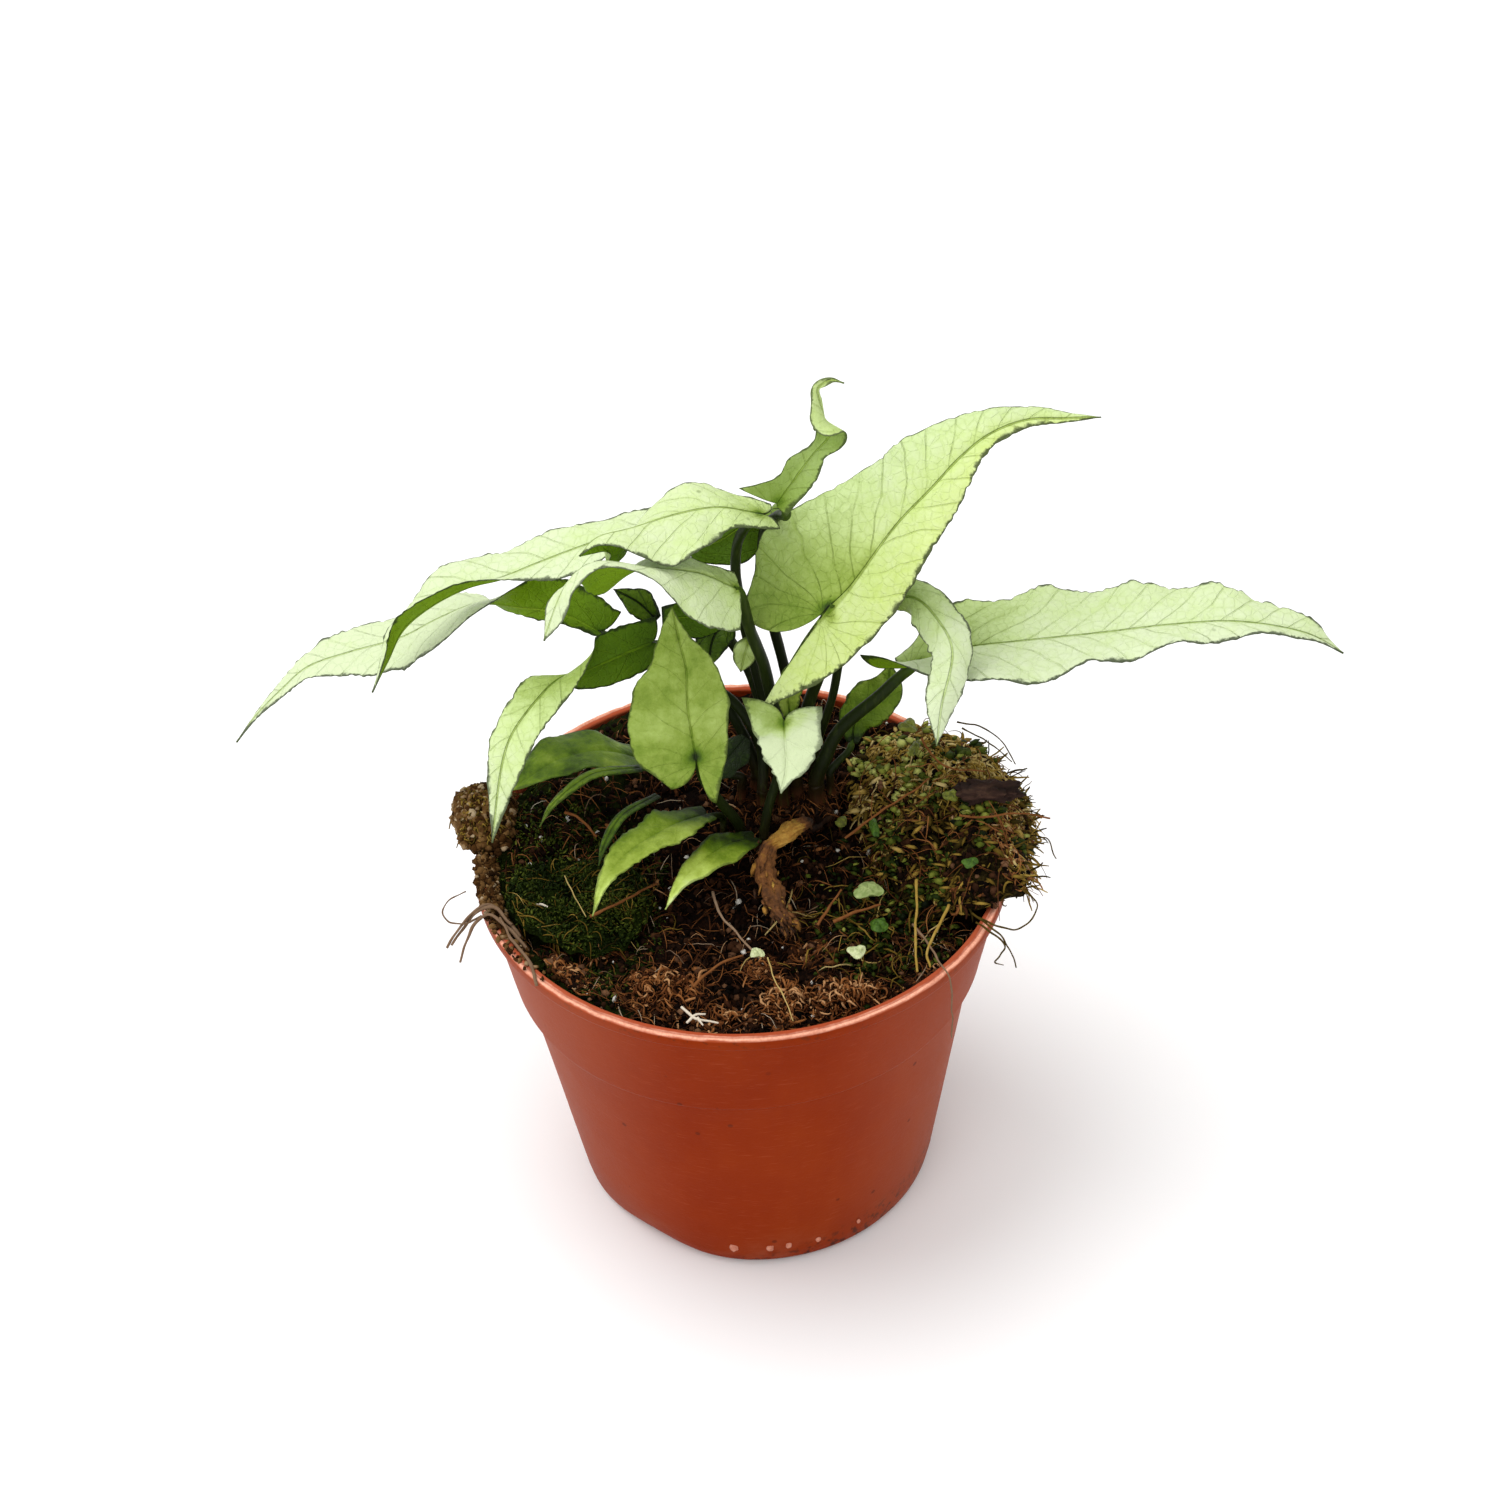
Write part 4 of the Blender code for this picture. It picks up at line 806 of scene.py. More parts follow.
def paintLeaf():
    p = Paint("leafSkin", Specular_IOR_Level=0.20)
    where = p.place()
    across, vein, rim = p.parts(p.field("veins", "Vector"))
    shade, warm, isUpper = p.parts(p.field("tones", "Vector"))
    veined = p.field("veining")
    mottle = p.noise(where, 7, 4, 0.6)
    small = p.noise(where, 1.6, 4, 0.65)
    fine = p.noise(where, 0.35, 2)
    nearVein = (vein + (small - 0.5) * 0.06).work("PINGPONG", 0.5) * 4.6  # distance from a side vein
    sideVein = nearVein.ramp(0.03, 0.20, 1, 0) * mottle.ramp(0.35, 0.6, 0.35, 1.0)
    softVein = nearVein.ramp(0.1, 1.2, 1, 0)
    midrib = across.size().ramp(0.06, 0.26, 1, 0)
    midSoft = across.size().ramp(0.2, 1.5, 1, 0)
    net = p.cells(where, 1.7).ramp(0.015, 0.09, 1, 0)
    level = shade + (mottle - 0.5) * 0.26 + (small - 0.5) * 0.24 + (fine - 0.5) * 0.07 \
        + (mottle - 0.47) * (1 - veined) * (1 - veined) * 1.1 \
        - (softVein * 0.02 + sideVein * 0.085 + net * 0.03 + midrib * 0.26 + midSoft * 0.04) * veined
    cool = p.scale((0.0, (0.009, 0.022, 0.0008)), (0.2, (0.060, 0.125, 0.004)), (0.35, (0.12, 0.215, 0.014)),
                   (0.5, (0.235, 0.34, 0.060)), (0.65, (0.345, 0.465, 0.140)), (0.82, (0.53, 0.66, 0.31)),
                   (1.0, (0.62, 0.71, 0.47)), by=level)
    sunny = p.scale((0.0, (0.009, 0.020, 0.0005)), (0.2, (0.065, 0.12, 0.0015)),
                    (0.35, (0.135, 0.215, 0.005)),
                    (0.5, (0.25, 0.34, 0.028)), (0.65, (0.37, 0.48, 0.065)), (0.82, (0.53, 0.67, 0.135)),
                    (1.0, (0.61, 0.72, 0.27)), by=level)
    top = p.blend(warm, cool, sunny)
    # painted light: the underside ramp is set bright, standing in for light that shines through the thin blade
    underLevel = shade * 0.4 + (mottle - 0.5) * 0.3 + 0.25 + (sideVein * 0.10 + midrib * 0.2) * veined
    under = p.scale((0.0, (0.015, 0.045, 0.0004)), (0.4, (0.080, 0.165, 0.0012)), (0.7, (0.17, 0.30, 0.002)),
                    (1.0, (0.34, 0.50, 0.03)), by=underLevel)
    skin = p.blend(isUpper, under, top)
    patchy = p.noise(where, 3.6, 2).ramp(0.45, 0.68)
    ragged = rim + (fine - 0.5) * 0.3 + (small - 0.5) * 0.4 + (p.noise(where, 0.8, 2) - 0.5) * 0.7
    dark = (ragged / (patchy * 0.5 + 0.34)).ramp(0.35, 1.2, 1, 0)
    skin = p.blend(dark * (veined * 0.5 + 0.45), skin, (0.010, 0.020, 0.003))
    stain = p.cells(where, 6.0, "F1").ramp(0.04, 0.09, 1, 0) * p.noise(where, 15, 1).ramp(0.5, 0.6)
    skin = p.blend(stain * 0.45, skin, (0.08, 0.12, 0.02))
    height = fine * 0.15 + small * 0.55 - (sideVein * 0.4 + midrib * 0.7 + net * 0.15) * veined
    return p.finish(skin, 0.45 + (1 - isUpper) * 0.12 + small * 0.12, height, 0.5)


leafPaint = paintLeaf()
for nodeName, leafShape in leafShapes.items():
    makeLeaf(nodeName, leafShape, leafLooks[nodeName])
print("leaves made:", len(leafShapes))

# stalks and crown
stalkLines = {
    "stalk_right_long": (
        [(27.5, 14.2, 98.6), (23, 13.5, 94), (17, 13, 88), (14, 12, 82), (12.5, 11.5, 76)], 0.9, 1.5),
    "stalk_upper_right": (
        [(14.6, 9.6, 116.6), (15, 10, 110), (14, 11, 104), (12, 12, 97), (9.5, 13, 86),
         (9, 12.8, 76)], 0.9, 1.2),
    "stalk_arching_right": (
        [(22.5, 16.5, 112), (19, 17, 108), (17, 17, 100), (15.5, 17, 91), (13, 16.6, 82),
         (12, 16.2, 76)], 0.6, 0.9),
    "stalk_upper_left": (
        [(-11, 19.5, 127.5), (-11, 24.5, 118), (-6, 27, 105), (1, 26, 92), (4, 22, 82),
         (5, 18.6, 76)], 0.8, 1.0),
    "stalk_far_left": (
        [(-22.5, 20.5, 104), (-14, 21, 100), (-5, 20, 92), (0, 17, 84), (2, 15, 76)], 0.8, 1.0),
    "stalk_top_centre": (
        [(3, 14.8, 132.8), (0, 18, 124), (0.5, 18.5, 110), (4, 17, 90), (6, 15, 76)], 0.8, 1.0),
    "stalk_arching_centre": (
        [(0.5, 7.5, 122.5), (2, 9.5, 113), (4, 10, 105), (5, 10.5, 98), (6.5, 10.8, 88),
         (6.5, 10.6, 76)], 0.95, 1.2),
    "stalk_front_upright": (
        [(-7.6, 0.2, 93), (-7, 1.2, 88), (-5, 2, 83), (-2, 3, 77), (-1, 4, 73)], 0.8, 1.0),
    "stalk_left_hanging": (
        [(-13.4, 17.4, 104), (-9, 17, 99), (-1, 15.5, 92), (3, 13.2, 84), (3, 10.4, 76)], 0.8, 1.0),
    "stalk_unrolling_top": (
        [(8.4, 12.8, 134.6), (7, 16.8, 131.5), (4.5, 19.8, 125), (5, 21, 110), (8, 20.5, 92),
         (8.5, 17.2, 76)], 0.8, 1.0),
    "stalk_small_heart": (
        [(7, 1.8, 99), (7, 4, 93), (6, 4.5, 86), (4, 3.5, 79), (3, 2.5, 73)], 0.7, 0.9),
    "stalk_sheath_right": ([(18.4, 16.2, 80), (16.5, 14.7, 78.9), (15, 13.6, 75.6)], 0.6, 0.7),
    "stalk_low_left": (
        [(-16.5, 16.8, 78.2), (-10, 15, 79), (-4, 13.5, 78), (-0.6, 13, 75)], 0.6, 0.8),
    "stalk_low_front": ([(-6.2, 2.8, 77.8), (-4.6, 5.4, 75.5), (-4, 7, 72.5)], 0.5, 0.7),
}


def makeStalk(node, points, topRadius, footRadius):
    # a tube that narrows upwards, a little oval and ribbed; it runs on into the foot of its leaf's midrib
    mid = np.array(leafShapes["leaf" + node[7:]]["mid"], float)
    joint = mid[0] + 0.9 * unit(mid[1] - mid[0]) - [0, 0, 0.25]
    points = [tuple(joint)] + list(points)
    footX, footY = points[-1][:2]
    out = math.hypot(footX - crownAt[0], (footY - crownAt[1]) / 0.85) > 10.2
    foot = (float(soilHeight(footX, footY)) if out else crownFoot + 0.35 + 3.9) + 0.1
    line = list(points[:-1]) + [(footX, footY, foot + h) for h in (4.4, 2.2, -0.9)]
    t = np.linspace(0, 1, 70)
    path = spline(line, t)
    radius = topRadius + (footRadius - topRadius) * t + 0.35 * smooth(0.86, 1, t) - 0.45 * smooth(0.12, 0, t)
    cloud, faces = tubes(path[None], radius[None], 18)
    rings = cloud.reshape(70, 18, 3)
    angle = np.linspace(0, 2 * np.pi, 18, endpoint=False)
    bulge = 1 + 0.06 * np.cos(3 * angle + 4 * t[:, None]) + 0.05 * lumps(rings, 2.4)
    rings = path[:, None] + (rings - path[:, None]) * bulge[..., None]
    addPiece(node, rings, faces, {"tint": np.repeat(t, 18)}, stalkPaint,
             [node.replace("petiole", "stalk")])


def paintStalk():
    p = Paint("stalkSkin", Specular_IOR_Level=0.12)
    where = p.place()
    t = p.field("tint")
    vary = p.noise(where, 5, 3)
    streak = p.noise(where, 1.0, 3, 0.6, (1, 1, 0.12))
    skin = p.scale((0.0, (0.045, 0.085, 0.006)), (0.2, (0.014, 0.026, 0.002)), (0.6, (0.008, 0.012, 0.002)),
                   (0.85, (0.020, 0.010, 0.003)), (1.0, (0.075, 0.022, 0.008)), by=t + (vary - 0.5) * 0.3)
    skin = p.blend(streak.ramp(0.52, 0.7) * 0.35, skin, (0.045, 0.065, 0.008))
    return p.finish(skin, 0.38 + streak * 0.15, streak, 0.10)


stalkPaint = paintStalk()
for nodeName, (line, topRadius, footRadius) in stalkLines.items():
    makeStalk("petiole" + nodeName[5:], line, topRadius, footRadius)
print("stalks made:", len(stalkLines))

# moss cushions
cushions = {
    "moss_right": dict(at=(35, 3), reach=(13.4, 14.5, 18, 24, 27, 18, 13, 13, 16, 20, 21, 14.5),
                       thick=6.3, lump=0.15, rough=1.7, grain=4.4),
    "moss_left": dict(at=(-28.5, -9), reach=(12, 12, 11.5, 11.5, 12, 12, 12.5, 13, 13, 13, 13, 12), thick=1.8,
                      lump=0.2, rough=0.6, grain=4.0),
    "moss_dry_left": dict(at=(-46, 9), reach=(5, 6, 8, 9, 8, 6, 5, 5, 7, 8, 8, 6), thick=3.2,
                          lump=0.1, rough=1.5, grain=3.4),
}


def reachAt(cushion, angle):  # how far a cushion spreads in that direction
    closed = list(cushion["reach"]) + [cushion["reach"][0]]
    return spline(closed, angle.ravel() / (2 * np.pi))[:, 0].reshape(angle.shape)


def restingHeight(x, y):
    # the height a cushion lies on: the mix, rising on to the rim where the cushion runs over it
    low = soilHeight(x, y) + 0.7
    reach = np.hypot((x - pot["shift"]) / (1 + pot["outOfRound"]), y)
    share = np.clip((reach - 33.5) / 5.0, 0, 1)
    return np.maximum(low, low + (pot["height"] + 0.6 - low) * share)


def cushionPlace(cushion, x, y):
    # how far out a point is (1 at the edge), the height of the top there, and how far that is above the mean
    dx, dy = x - cushion["at"][0], y - cushion["at"][1]
    angle = np.mod(np.arctan2(dy, dx), 2 * np.pi)
    share = np.hypot(dx, dy) / reachAt(cushion, angle)
    rise = cushion["thick"] * (1 - np.minimum(share, 1) ** 3) * (
        1 + cushion["lump"] * np.sin(0.45 * x + 1.0) * np.cos(0.4 * y)) + 0.5
    flat = flatPoints(x, y)
    bumps = lumps(flat, cushion["grain"], 0.7) + 0.55 * lumps(flat, cushion["grain"] * 0.42, 3.3)
    bumps = bumps * cushion["rough"] * np.clip(1.3 - share, 0, 1)
    return share, restingHeight(x, y) + rise + bumps - np.maximum(share - 1, 0) * 14, bumps / cushion["rough"]


def makeCushion(cushion):
    # rings outwards along the underside, then back over a lumpy top: height + value noise at three sizes
    turn = np.linspace(0, 2 * np.pi, 190, endpoint=False)
    shares = np.concatenate([np.linspace(0.08, 0.96, 9), np.linspace(1.0, 0.02, 66) ** 0.8])
    reach = reachAt(cushion, turn)
    ragged = 1 + 0.06 * lumps(np.stack([np.cos(turn) * 9, np.sin(turn) * 9, 0 * turn], -1), 1.3)
    r = shares[:, None] * reach * ragged
    x, y = cushion["at"][0] + r * np.cos(turn), cushion["at"][1] + r * np.sin(turn)
    share, top, bumps = cushionPlace(cushion, x, y)
    flat = flatPoints(x, y)
    top = top + lumps(flat, 0.8, 6.1) * 0.3 * np.clip(1.2 - share, 0, 1)
    z = np.where((np.arange(len(shares)) < 9)[:, None], restingHeight(x, y), top)
    points = np.concatenate([np.stack([x, y, z], -1).reshape(-1, 3),
                             [[*cushion["at"], float(restingHeight(*map(np.float64, cushion["at"])))],
                              [*cushion["at"], float(np.mean(z[-1]))]]])
    # painted shade: the tint follows the lumps, so the hollows are painted darker and the tops paler
    tint = np.concatenate([(0.5 + 0.4 * bumps).ravel(), [0.3, 0.5]])
    return points, closedFaces(*x.shape), tint


def paintMoss(name, stops):
    p = Paint(name, Specular_IOR_Level=0.03)
    where = p.place()
    mix = p.noise(where, 2.6, 5, 0.7)
    crumb = p.noise(where, 0.6, 4, 0.7)
    tint = p.field("tint") * 0.5 + 0.25 + (mix - 0.5) * 0.7 + (crumb - 0.5) * 0.7
    return p.finish(p.scale(*stops, by=tint), 0.95, crumb + mix, 0.6)


mossStops = {
    "moss_right": ((0.35, (0.002, 0.0015, 0.0008)), (0.5, (0.010, 0.007, 0.002)),
                   (0.65, (0.035, 0.024, 0.006)), (0.85, (0.11, 0.07, 0.014))),
    "moss_left": ((0.35, (0.002, 0.003, 0.0005)), (0.5, (0.007, 0.012, 0.001)), (0.65, (0.014, 0.024, 0.002)),
                  (0.85, (0.035, 0.045, 0.006))),
    "moss_dry_left": ((0.3, (0.006, 0.003, 0.001)), (0.5, (0.045, 0.020, 0.006)),
                      (0.65, (0.12, 0.062, 0.022)), (0.85, (0.28, 0.19, 0.10))),
}
for cushionName, cushion in cushions.items():
    points, faces, tint = makeCushion(cushion)
    addPiece("mat_" + cushionName[5:], points, faces, {"tint": tint},
             paintMoss(cushionName, mossStops[cushionName]),
             [cushionName])
print("cushions made")

rightCushion, leftCushion, dryCushion = (cushions[n] for n in ("moss_right", "moss_left", "moss_dry_left"))


def onRight(x, y): return cushionPlace(rightCushion, x, y)[1]
def onDry(x, y): return cushionPlace(dryCushion, x, y)[1]


def onLeft(x, y):
    share, top = cushionPlace(leftCushion, x, y)[:2]
    return np.maximum(roughSoil(x, y), np.where(share < 1, top, 0))


def overCushion(rng, cushion, count, most=1.0, least=0.0):  # random places on a cushion
    angle = rng.uniform(0, 2 * np.pi, count)
    reach = reachAt(cushion, angle)
    r = reach * np.sqrt(rng.uniform(least, most, count))
    return cushion["at"][0] + r * np.cos(angle), cushion["at"][1] + r * np.sin(angle)


def openSoil(rng, count):  # random places on bare mix, clear of the right cushion
    r, angle = 41.6 * np.sqrt(rng.uniform(0, 1, count * 2)), rng.uniform(0, 2 * np.pi, count * 2)
    x, y = r * np.cos(angle), r * np.sin(angle)
    bare = (cushionPlace(rightCushion, x, y)[0] > 0.95) & (cushionPlace(leftCushion, x, y)[0] > 0.8)
    return x[bare][:count], y[bare][:count]


def layPaths(rng, x, y, lengths, steps, curl, height, lift, limit=None):
    # fibres that wander over a surface: flat random curves, raised to height(x, y) plus an arch
    count = len(x)
    turning = rng.normal(0, curl, (count, 1)) + rng.normal(0, curl, (count, steps)).cumsum(1) * 0.4
    heading = rng.uniform(0, 2 * np.pi, (count, 1)) + turning.cumsum(1)
    step = (lengths / (steps - 1))[:, None]
    pathX = x[:, None] + np.cumsum(np.cos(heading) * step, 1)
    pathY = y[:, None] + np.cumsum(np.sin(heading) * step, 1)
    if limit:
        r = np.hypot(pathX, pathY)
        pathX, pathY = pathX * np.minimum(1, limit / r), pathY * np.minimum(1, limit / r)
    t = np.linspace(0, 1, steps)[None]
    arch = lift[:, None] * np.sin(np.pi * t) + rng.uniform(0, 1, (count, 1)) * lift[:, None] * t
    return np.stack([pathX, pathY, height(pathX, pathY) + arch], -1)


def freePaths(rng, starts, lengths, steps, heading, slope, curl):
    # fibres that stand clear of the surface: heading and slope both drift at each step
    count = len(starts)
    heading = heading[:, None] + rng.normal(0, curl, (count, steps)).cumsum(1)
    slope = slope[:, None] + rng.normal(0, curl * 0.8, (count, steps)).cumsum(1)
    move = np.stack([np.cos(heading) * np.cos(slope), np.sin(heading) * np.cos(slope), np.sin(slope)], -1)
    return starts[:, None] + np.cumsum(move * (lengths / (steps - 1))[:, None, None], 1)


def taper(radii, steps, ends=0.35):  # thickness along a strand, thinner at both ends
    t = np.linspace(0, 1, steps)
    return radii[:, None] * (ends + (1 - ends) * np.sin(np.pi * np.clip(t * 0.9 + 0.05, 0, 1)) ** 0.6)[None]


def addStrands(name, paths, radii, tints, paint):
    steps = paths.shape[1]
    cloud, faces = tubes(paths, taper(radii, steps), 3)
    addPiece(name, cloud, faces, {"tint": np.repeat(np.clip(tints, 0.01, 0.99), steps * 3)},
             paint, ())


def strands(name, rng, x, y, lengths, radii, tints, curl, height, lift, paint, steps=7,
            limit=None, sink=0.2):
    count = len(x)
    paths = layPaths(rng, x, y, rng.uniform(*lengths, count), steps, curl, height,
                     rng.uniform(*lift, count), limit)
    paths[..., 2] -= sink
    addStrands(name, paths, rng.uniform(*radii, count), tints, paint)


def sprigs(name, rng, x, y, z, steep, lengths, plump, tints, paint):  # small leaves pointing every way
    count = len(x)
    lean = rng.uniform(0, 2 * np.pi, count)
    ways = np.stack([np.cos(lean), np.sin(lean), rng.uniform(*steep, count)], -1)
    length = rng.uniform(*lengths, count)
    points, faces = leaflets(np.stack([x, y, z], -1), ways, np.array([0, 0, 1.0]) + 0 * ways, length,
                             length * rng.uniform(*plump, count))
    addPiece(name, points, faces, {"tint": np.repeat(np.clip(tints, 0.01, 0.99), 8)}, paint, ())


def grains(name, rng, x, y, z, sizes, tints, paint):  # crumbs of every shape
    count = len(x)
    size = rng.uniform(*sizes, (count, 1)) * rng.uniform(0.55, 1.45, (count, 3))
    points, faces = crumbs(np.stack([x, y, z], -1), size, rng.uniform(0, 6.28, count), rng)
    addPiece(name, points, faces, {"tint": np.repeat(np.clip(tints, 0.01, 0.99), 12)}, paint, (),
             rounded=False)


goldPaint = paintFibre("goldenFibre", ((0.0, (0.004, 0.003, 0.0005)), (0.25, (0.035, 0.023, 0.003)),
                                       (0.5, (0.15, 0.092, 0.013)), (0.75, (0.33, 0.21, 0.040)),
                                       (1.0, (0.56, 0.43, 0.18))))
brownPaint = paintFibre("brownFibre", ((0.0, (0.005, 0.0015, 0.0006)), (0.3, (0.035, 0.011, 0.004)),
                                       (0.55, (0.15, 0.052, 0.015)), (0.8, (0.33, 0.135, 0.042)),
                                       (1.0, (0.58, 0.36, 0.19))))
tuftPaint = paintFibre("tuftFibre", ((0.0, (0.003, 0.0010, 0.0005)), (0.3, (0.030, 0.0085, 0.003)),
                                     (0.55, (0.13, 0.042, 0.012)), (0.8, (0.28, 0.105, 0.030)),
                                     (1.0, (0.50, 0.27, 0.12))))
crumbPaint = paintFibre("peatCrumb", ((0.0, (0.0015, 0.0008, 0.0005)), (0.4, (0.008, 0.003, 0.0015)),
                                      (0.7, (0.045, 0.017, 0.007)), (1.0, (0.18, 0.09, 0.045))),
                                      0.95, 0.3, 0.8)
dryPaint = paintFibre("dryCrumb", ((0.0, (0.008, 0.003, 0.001)), (0.4, (0.055, 0.022, 0.005)),
                                   (0.7, (0.17, 0.090, 0.030)), (1.0, (0.42, 0.32, 0.20))), 0.95, 0.5, 0.9)
rootPaint = paintFibre("paleRoot", ((0.0, (0.05, 0.025, 0.012)), (0.4, (0.24, 0.15, 0.09)),
                                    (0.7, (0.46, 0.36, 0.25)), (1.0, (0.82, 0.76, 0.64))), 0.6)
sprigPaint = paintFibre("mossLeaf", ((0.0, (0.003, 0.005, 0.001)), (0.35, (0.014, 0.026, 0.002)),
                                     (0.6, (0.075, 0.095, 0.010)), (0.8, (0.22, 0.24, 0.035)),
                                     (1.0, (0.42, 0.44, 0.12))), 0.6)


def dressRight():
    rng = np.random.default_rng(21)
    patch = lambda x, y, shift: lumps(flatPoints(x, y), 3.4, shift)
    golden = lambda x, y: np.clip(smooth(38, 47, x) * 0.65 + smooth(1, 13, y) * 0.85, 0, 1)
    x, y = overCushion(rng, rightCushion, 8000, 0.98)
    keep = patch(x, y, 9.2) + rng.uniform(-0.5, 0.5, len(x)) > 0.42 - 0.72 * golden(x, y)
    x, y = x[keep], y[keep]
    tints = rng.normal(0.27, 0.2, len(x)) + 0.5 * golden(x, y) + 0.34 * patch(x, y, 9.2)
    # golden behind, mixed with brown in front
    back = rng.uniform(0, 1, len(x)) < 0.55 + 0.45 * smooth(-4, 10, y)
    for name, part, paint in (("goldenMat", back, goldPaint), ("brownMat", ~back, brownPaint)):
        strands(name, rng, x[part], y[part], (1.0, 3.6), (0.13, 0.34), tints[part], 0.34, onRight,
                (0.1, 0.8), paint)
    x, y = overCushion(rng, rightCushion, 120, 1.05)
    strands("longFibreRight", rng, x, y, (4, 12), (0.06, 0.13), rng.uniform(0.25, 0.8, 120), 0.12,
            onRight, (0.6, 2.4), brownPaint, 12, None, 0.0)
    count = 210  # frayed ends along the outer side
    angle = rng.uniform(-1.0, 1.25, count)
    reach = reachAt(rightCushion, np.mod(angle, 2 * np.pi))
    r = reach * rng.uniform(0.86, 1.0, count)
    x, y = rightCushion["at"][0] + r * np.cos(angle), rightCushion["at"][1] + r * np.sin(angle)
    starts = np.stack([x, y, onRight(x, y) - rng.uniform(0, 1.6, count)], -1)
    paths = freePaths(rng, starts, rng.uniform(1.2, 4.5, count), 7, angle + rng.normal(0, 0.5, count),
                      rng.normal(-0.25, 0.45, count), 0.2)
    addStrands("frayedEdge", paths, rng.uniform(0.09, 0.24, count), rng.normal(0.42, 0.2, count),
               goldPaint)
    x, y = overCushion(rng, rightCushion, 4200, 0.96)
    keep = patch(x, y, 4.4) + rng.uniform(-0.4, 0.4, len(x)) > 0.34
    x, y = x[keep], y[keep]
    count = len(x)
    pale = smooth(38, 28, x) * smooth(-2, 10, y)
    sprigs("mossSprigs", rng, x, y, onRight(x, y) + rng.uniform(-0.3, 0.7, count), (-0.1, 0.9),
           (0.9, 2.5), (0.5, 0.85), rng.normal(0.42, 0.2, count) + 0.38 * pale, sprigPaint)
    x, y = overCushion(rng, rightCushion, 520, 0.98)
    sprigs("mossFlakes", rng, x, y, onRight(x, y) + rng.uniform(0, 0.6, 520), (-0.2, 0.5),
           (1.4, 3.6), (0.18, 0.4), rng.normal(0.40, 0.2, 520) + 0.2 * golden(x, y), goldPaint)
    x, y = overCushion(rng, rightCushion, 1300, 0.98)
    grains("mossGrit", rng, x, y, onRight(x, y), (0.2, 0.8), rng.normal(0.4, 0.25, 1300), crumbPaint)
    print("right moss dressed")


def dressLeft():
    rng = np.random.default_rng(5)
    count = 7500
    r, angle = 42.6 * np.sqrt(rng.uniform(0.1, 1, count)), np.radians(rng.uniform(150, 236, count))
    x, y = r * np.cos(angle) + pot["shift"], r * np.sin(angle)
    keep = (x < -15 - 5 * lumps(flatPoints(x, y), 6)) & (y > -31) & (
        lumps(flatPoints(x, y), 2.6, 3) + rng.uniform(-0.6, 0.6, count) > -0.5)
    x, y = x[keep], y[keep]
    tints = rng.normal(0.36, 0.10, len(x)) + 0.16 * lumps(flatPoints(x, y), 5.0, 2.0)
    sprigs("mossVelvet", rng, x, y, onLeft(x, y) + rng.uniform(-0.3, 0.3, len(x)), (0.3, 1.8),
           (0.5, 1.3), (0.3, 0.5), tints, sprigPaint)
    count = 150
    x, y = overCushion(rng, leftCushion, count, 1.3)
    strands("fibreLeft", rng, x, y, (2, 7), (0.06, 0.13), rng.normal(0.42, 0.2, count), 0.14,
            onLeft, (0.2, 1.0), goldPaint, limit=42)
    count = 900  # dirt and moss lying on the rim at the left
    angle, r = np.radians(rng.normal(187, 13, count)), rng.uniform(41.2, 44.9, count)
    x, y = r * (1 + pot["outOfRound"]) * np.cos(angle) + pot["shift"], r * np.sin(angle)
    z = np.where(r < 43, 70.6 + (r - 41.2) * 0.8, 72.0) + rng.uniform(0, 0.35, count)
    grains("rimDirt", rng, x, y, z, (0.16, 0.6), rng.normal(0.45, 0.2, count), dryPaint)
    x, y = overCushion(rng, dryCushion, 900, 1.06)
    grains("dryCrumbs", rng, x, y, onDry(x, y) + rng.uniform(-0.3, 0.2, 900), (0.2, 0.75),
           rng.normal(0.42, 0.2, 900) + 0.2 * smooth(-44, -50, x), dryPaint)
    x, y = overCushion(rng, dryCushion, 420, 0.72)
    strands("dryFibres", rng, x, y, (0.8, 2.2), (0.09, 0.22), rng.normal(0.5, 0.18, 420), 0.4,
            onDry, (0.1, 0.8), goldPaint)
    print("left moss dressed")


dressRight()
dressLeft()

# loose matter on the mix
tufts = [  # fibrous brown clumps: x, y, reach along x and y, height, how many fibres
    (15.5, -31, 8.5, 4.2, 1.9, 620), (-15, -28.5, 7.5, 5, 1.2, 420), (-26, -17, 4.5, 3.2, 1.4, 260),
    (5, -32.5, 2.4, 5.6, 2.2, 300), (1.5, -23.5, 3.2, 2.4, 1.0, 130), (-4, -35, 6, 3, 0.8, 200),
    (30, -29, 4, 3, 0.8, 110), (-31, -26, 4, 4, 0.7, 120), (10, -20, 4, 3, 0.5, 90)]


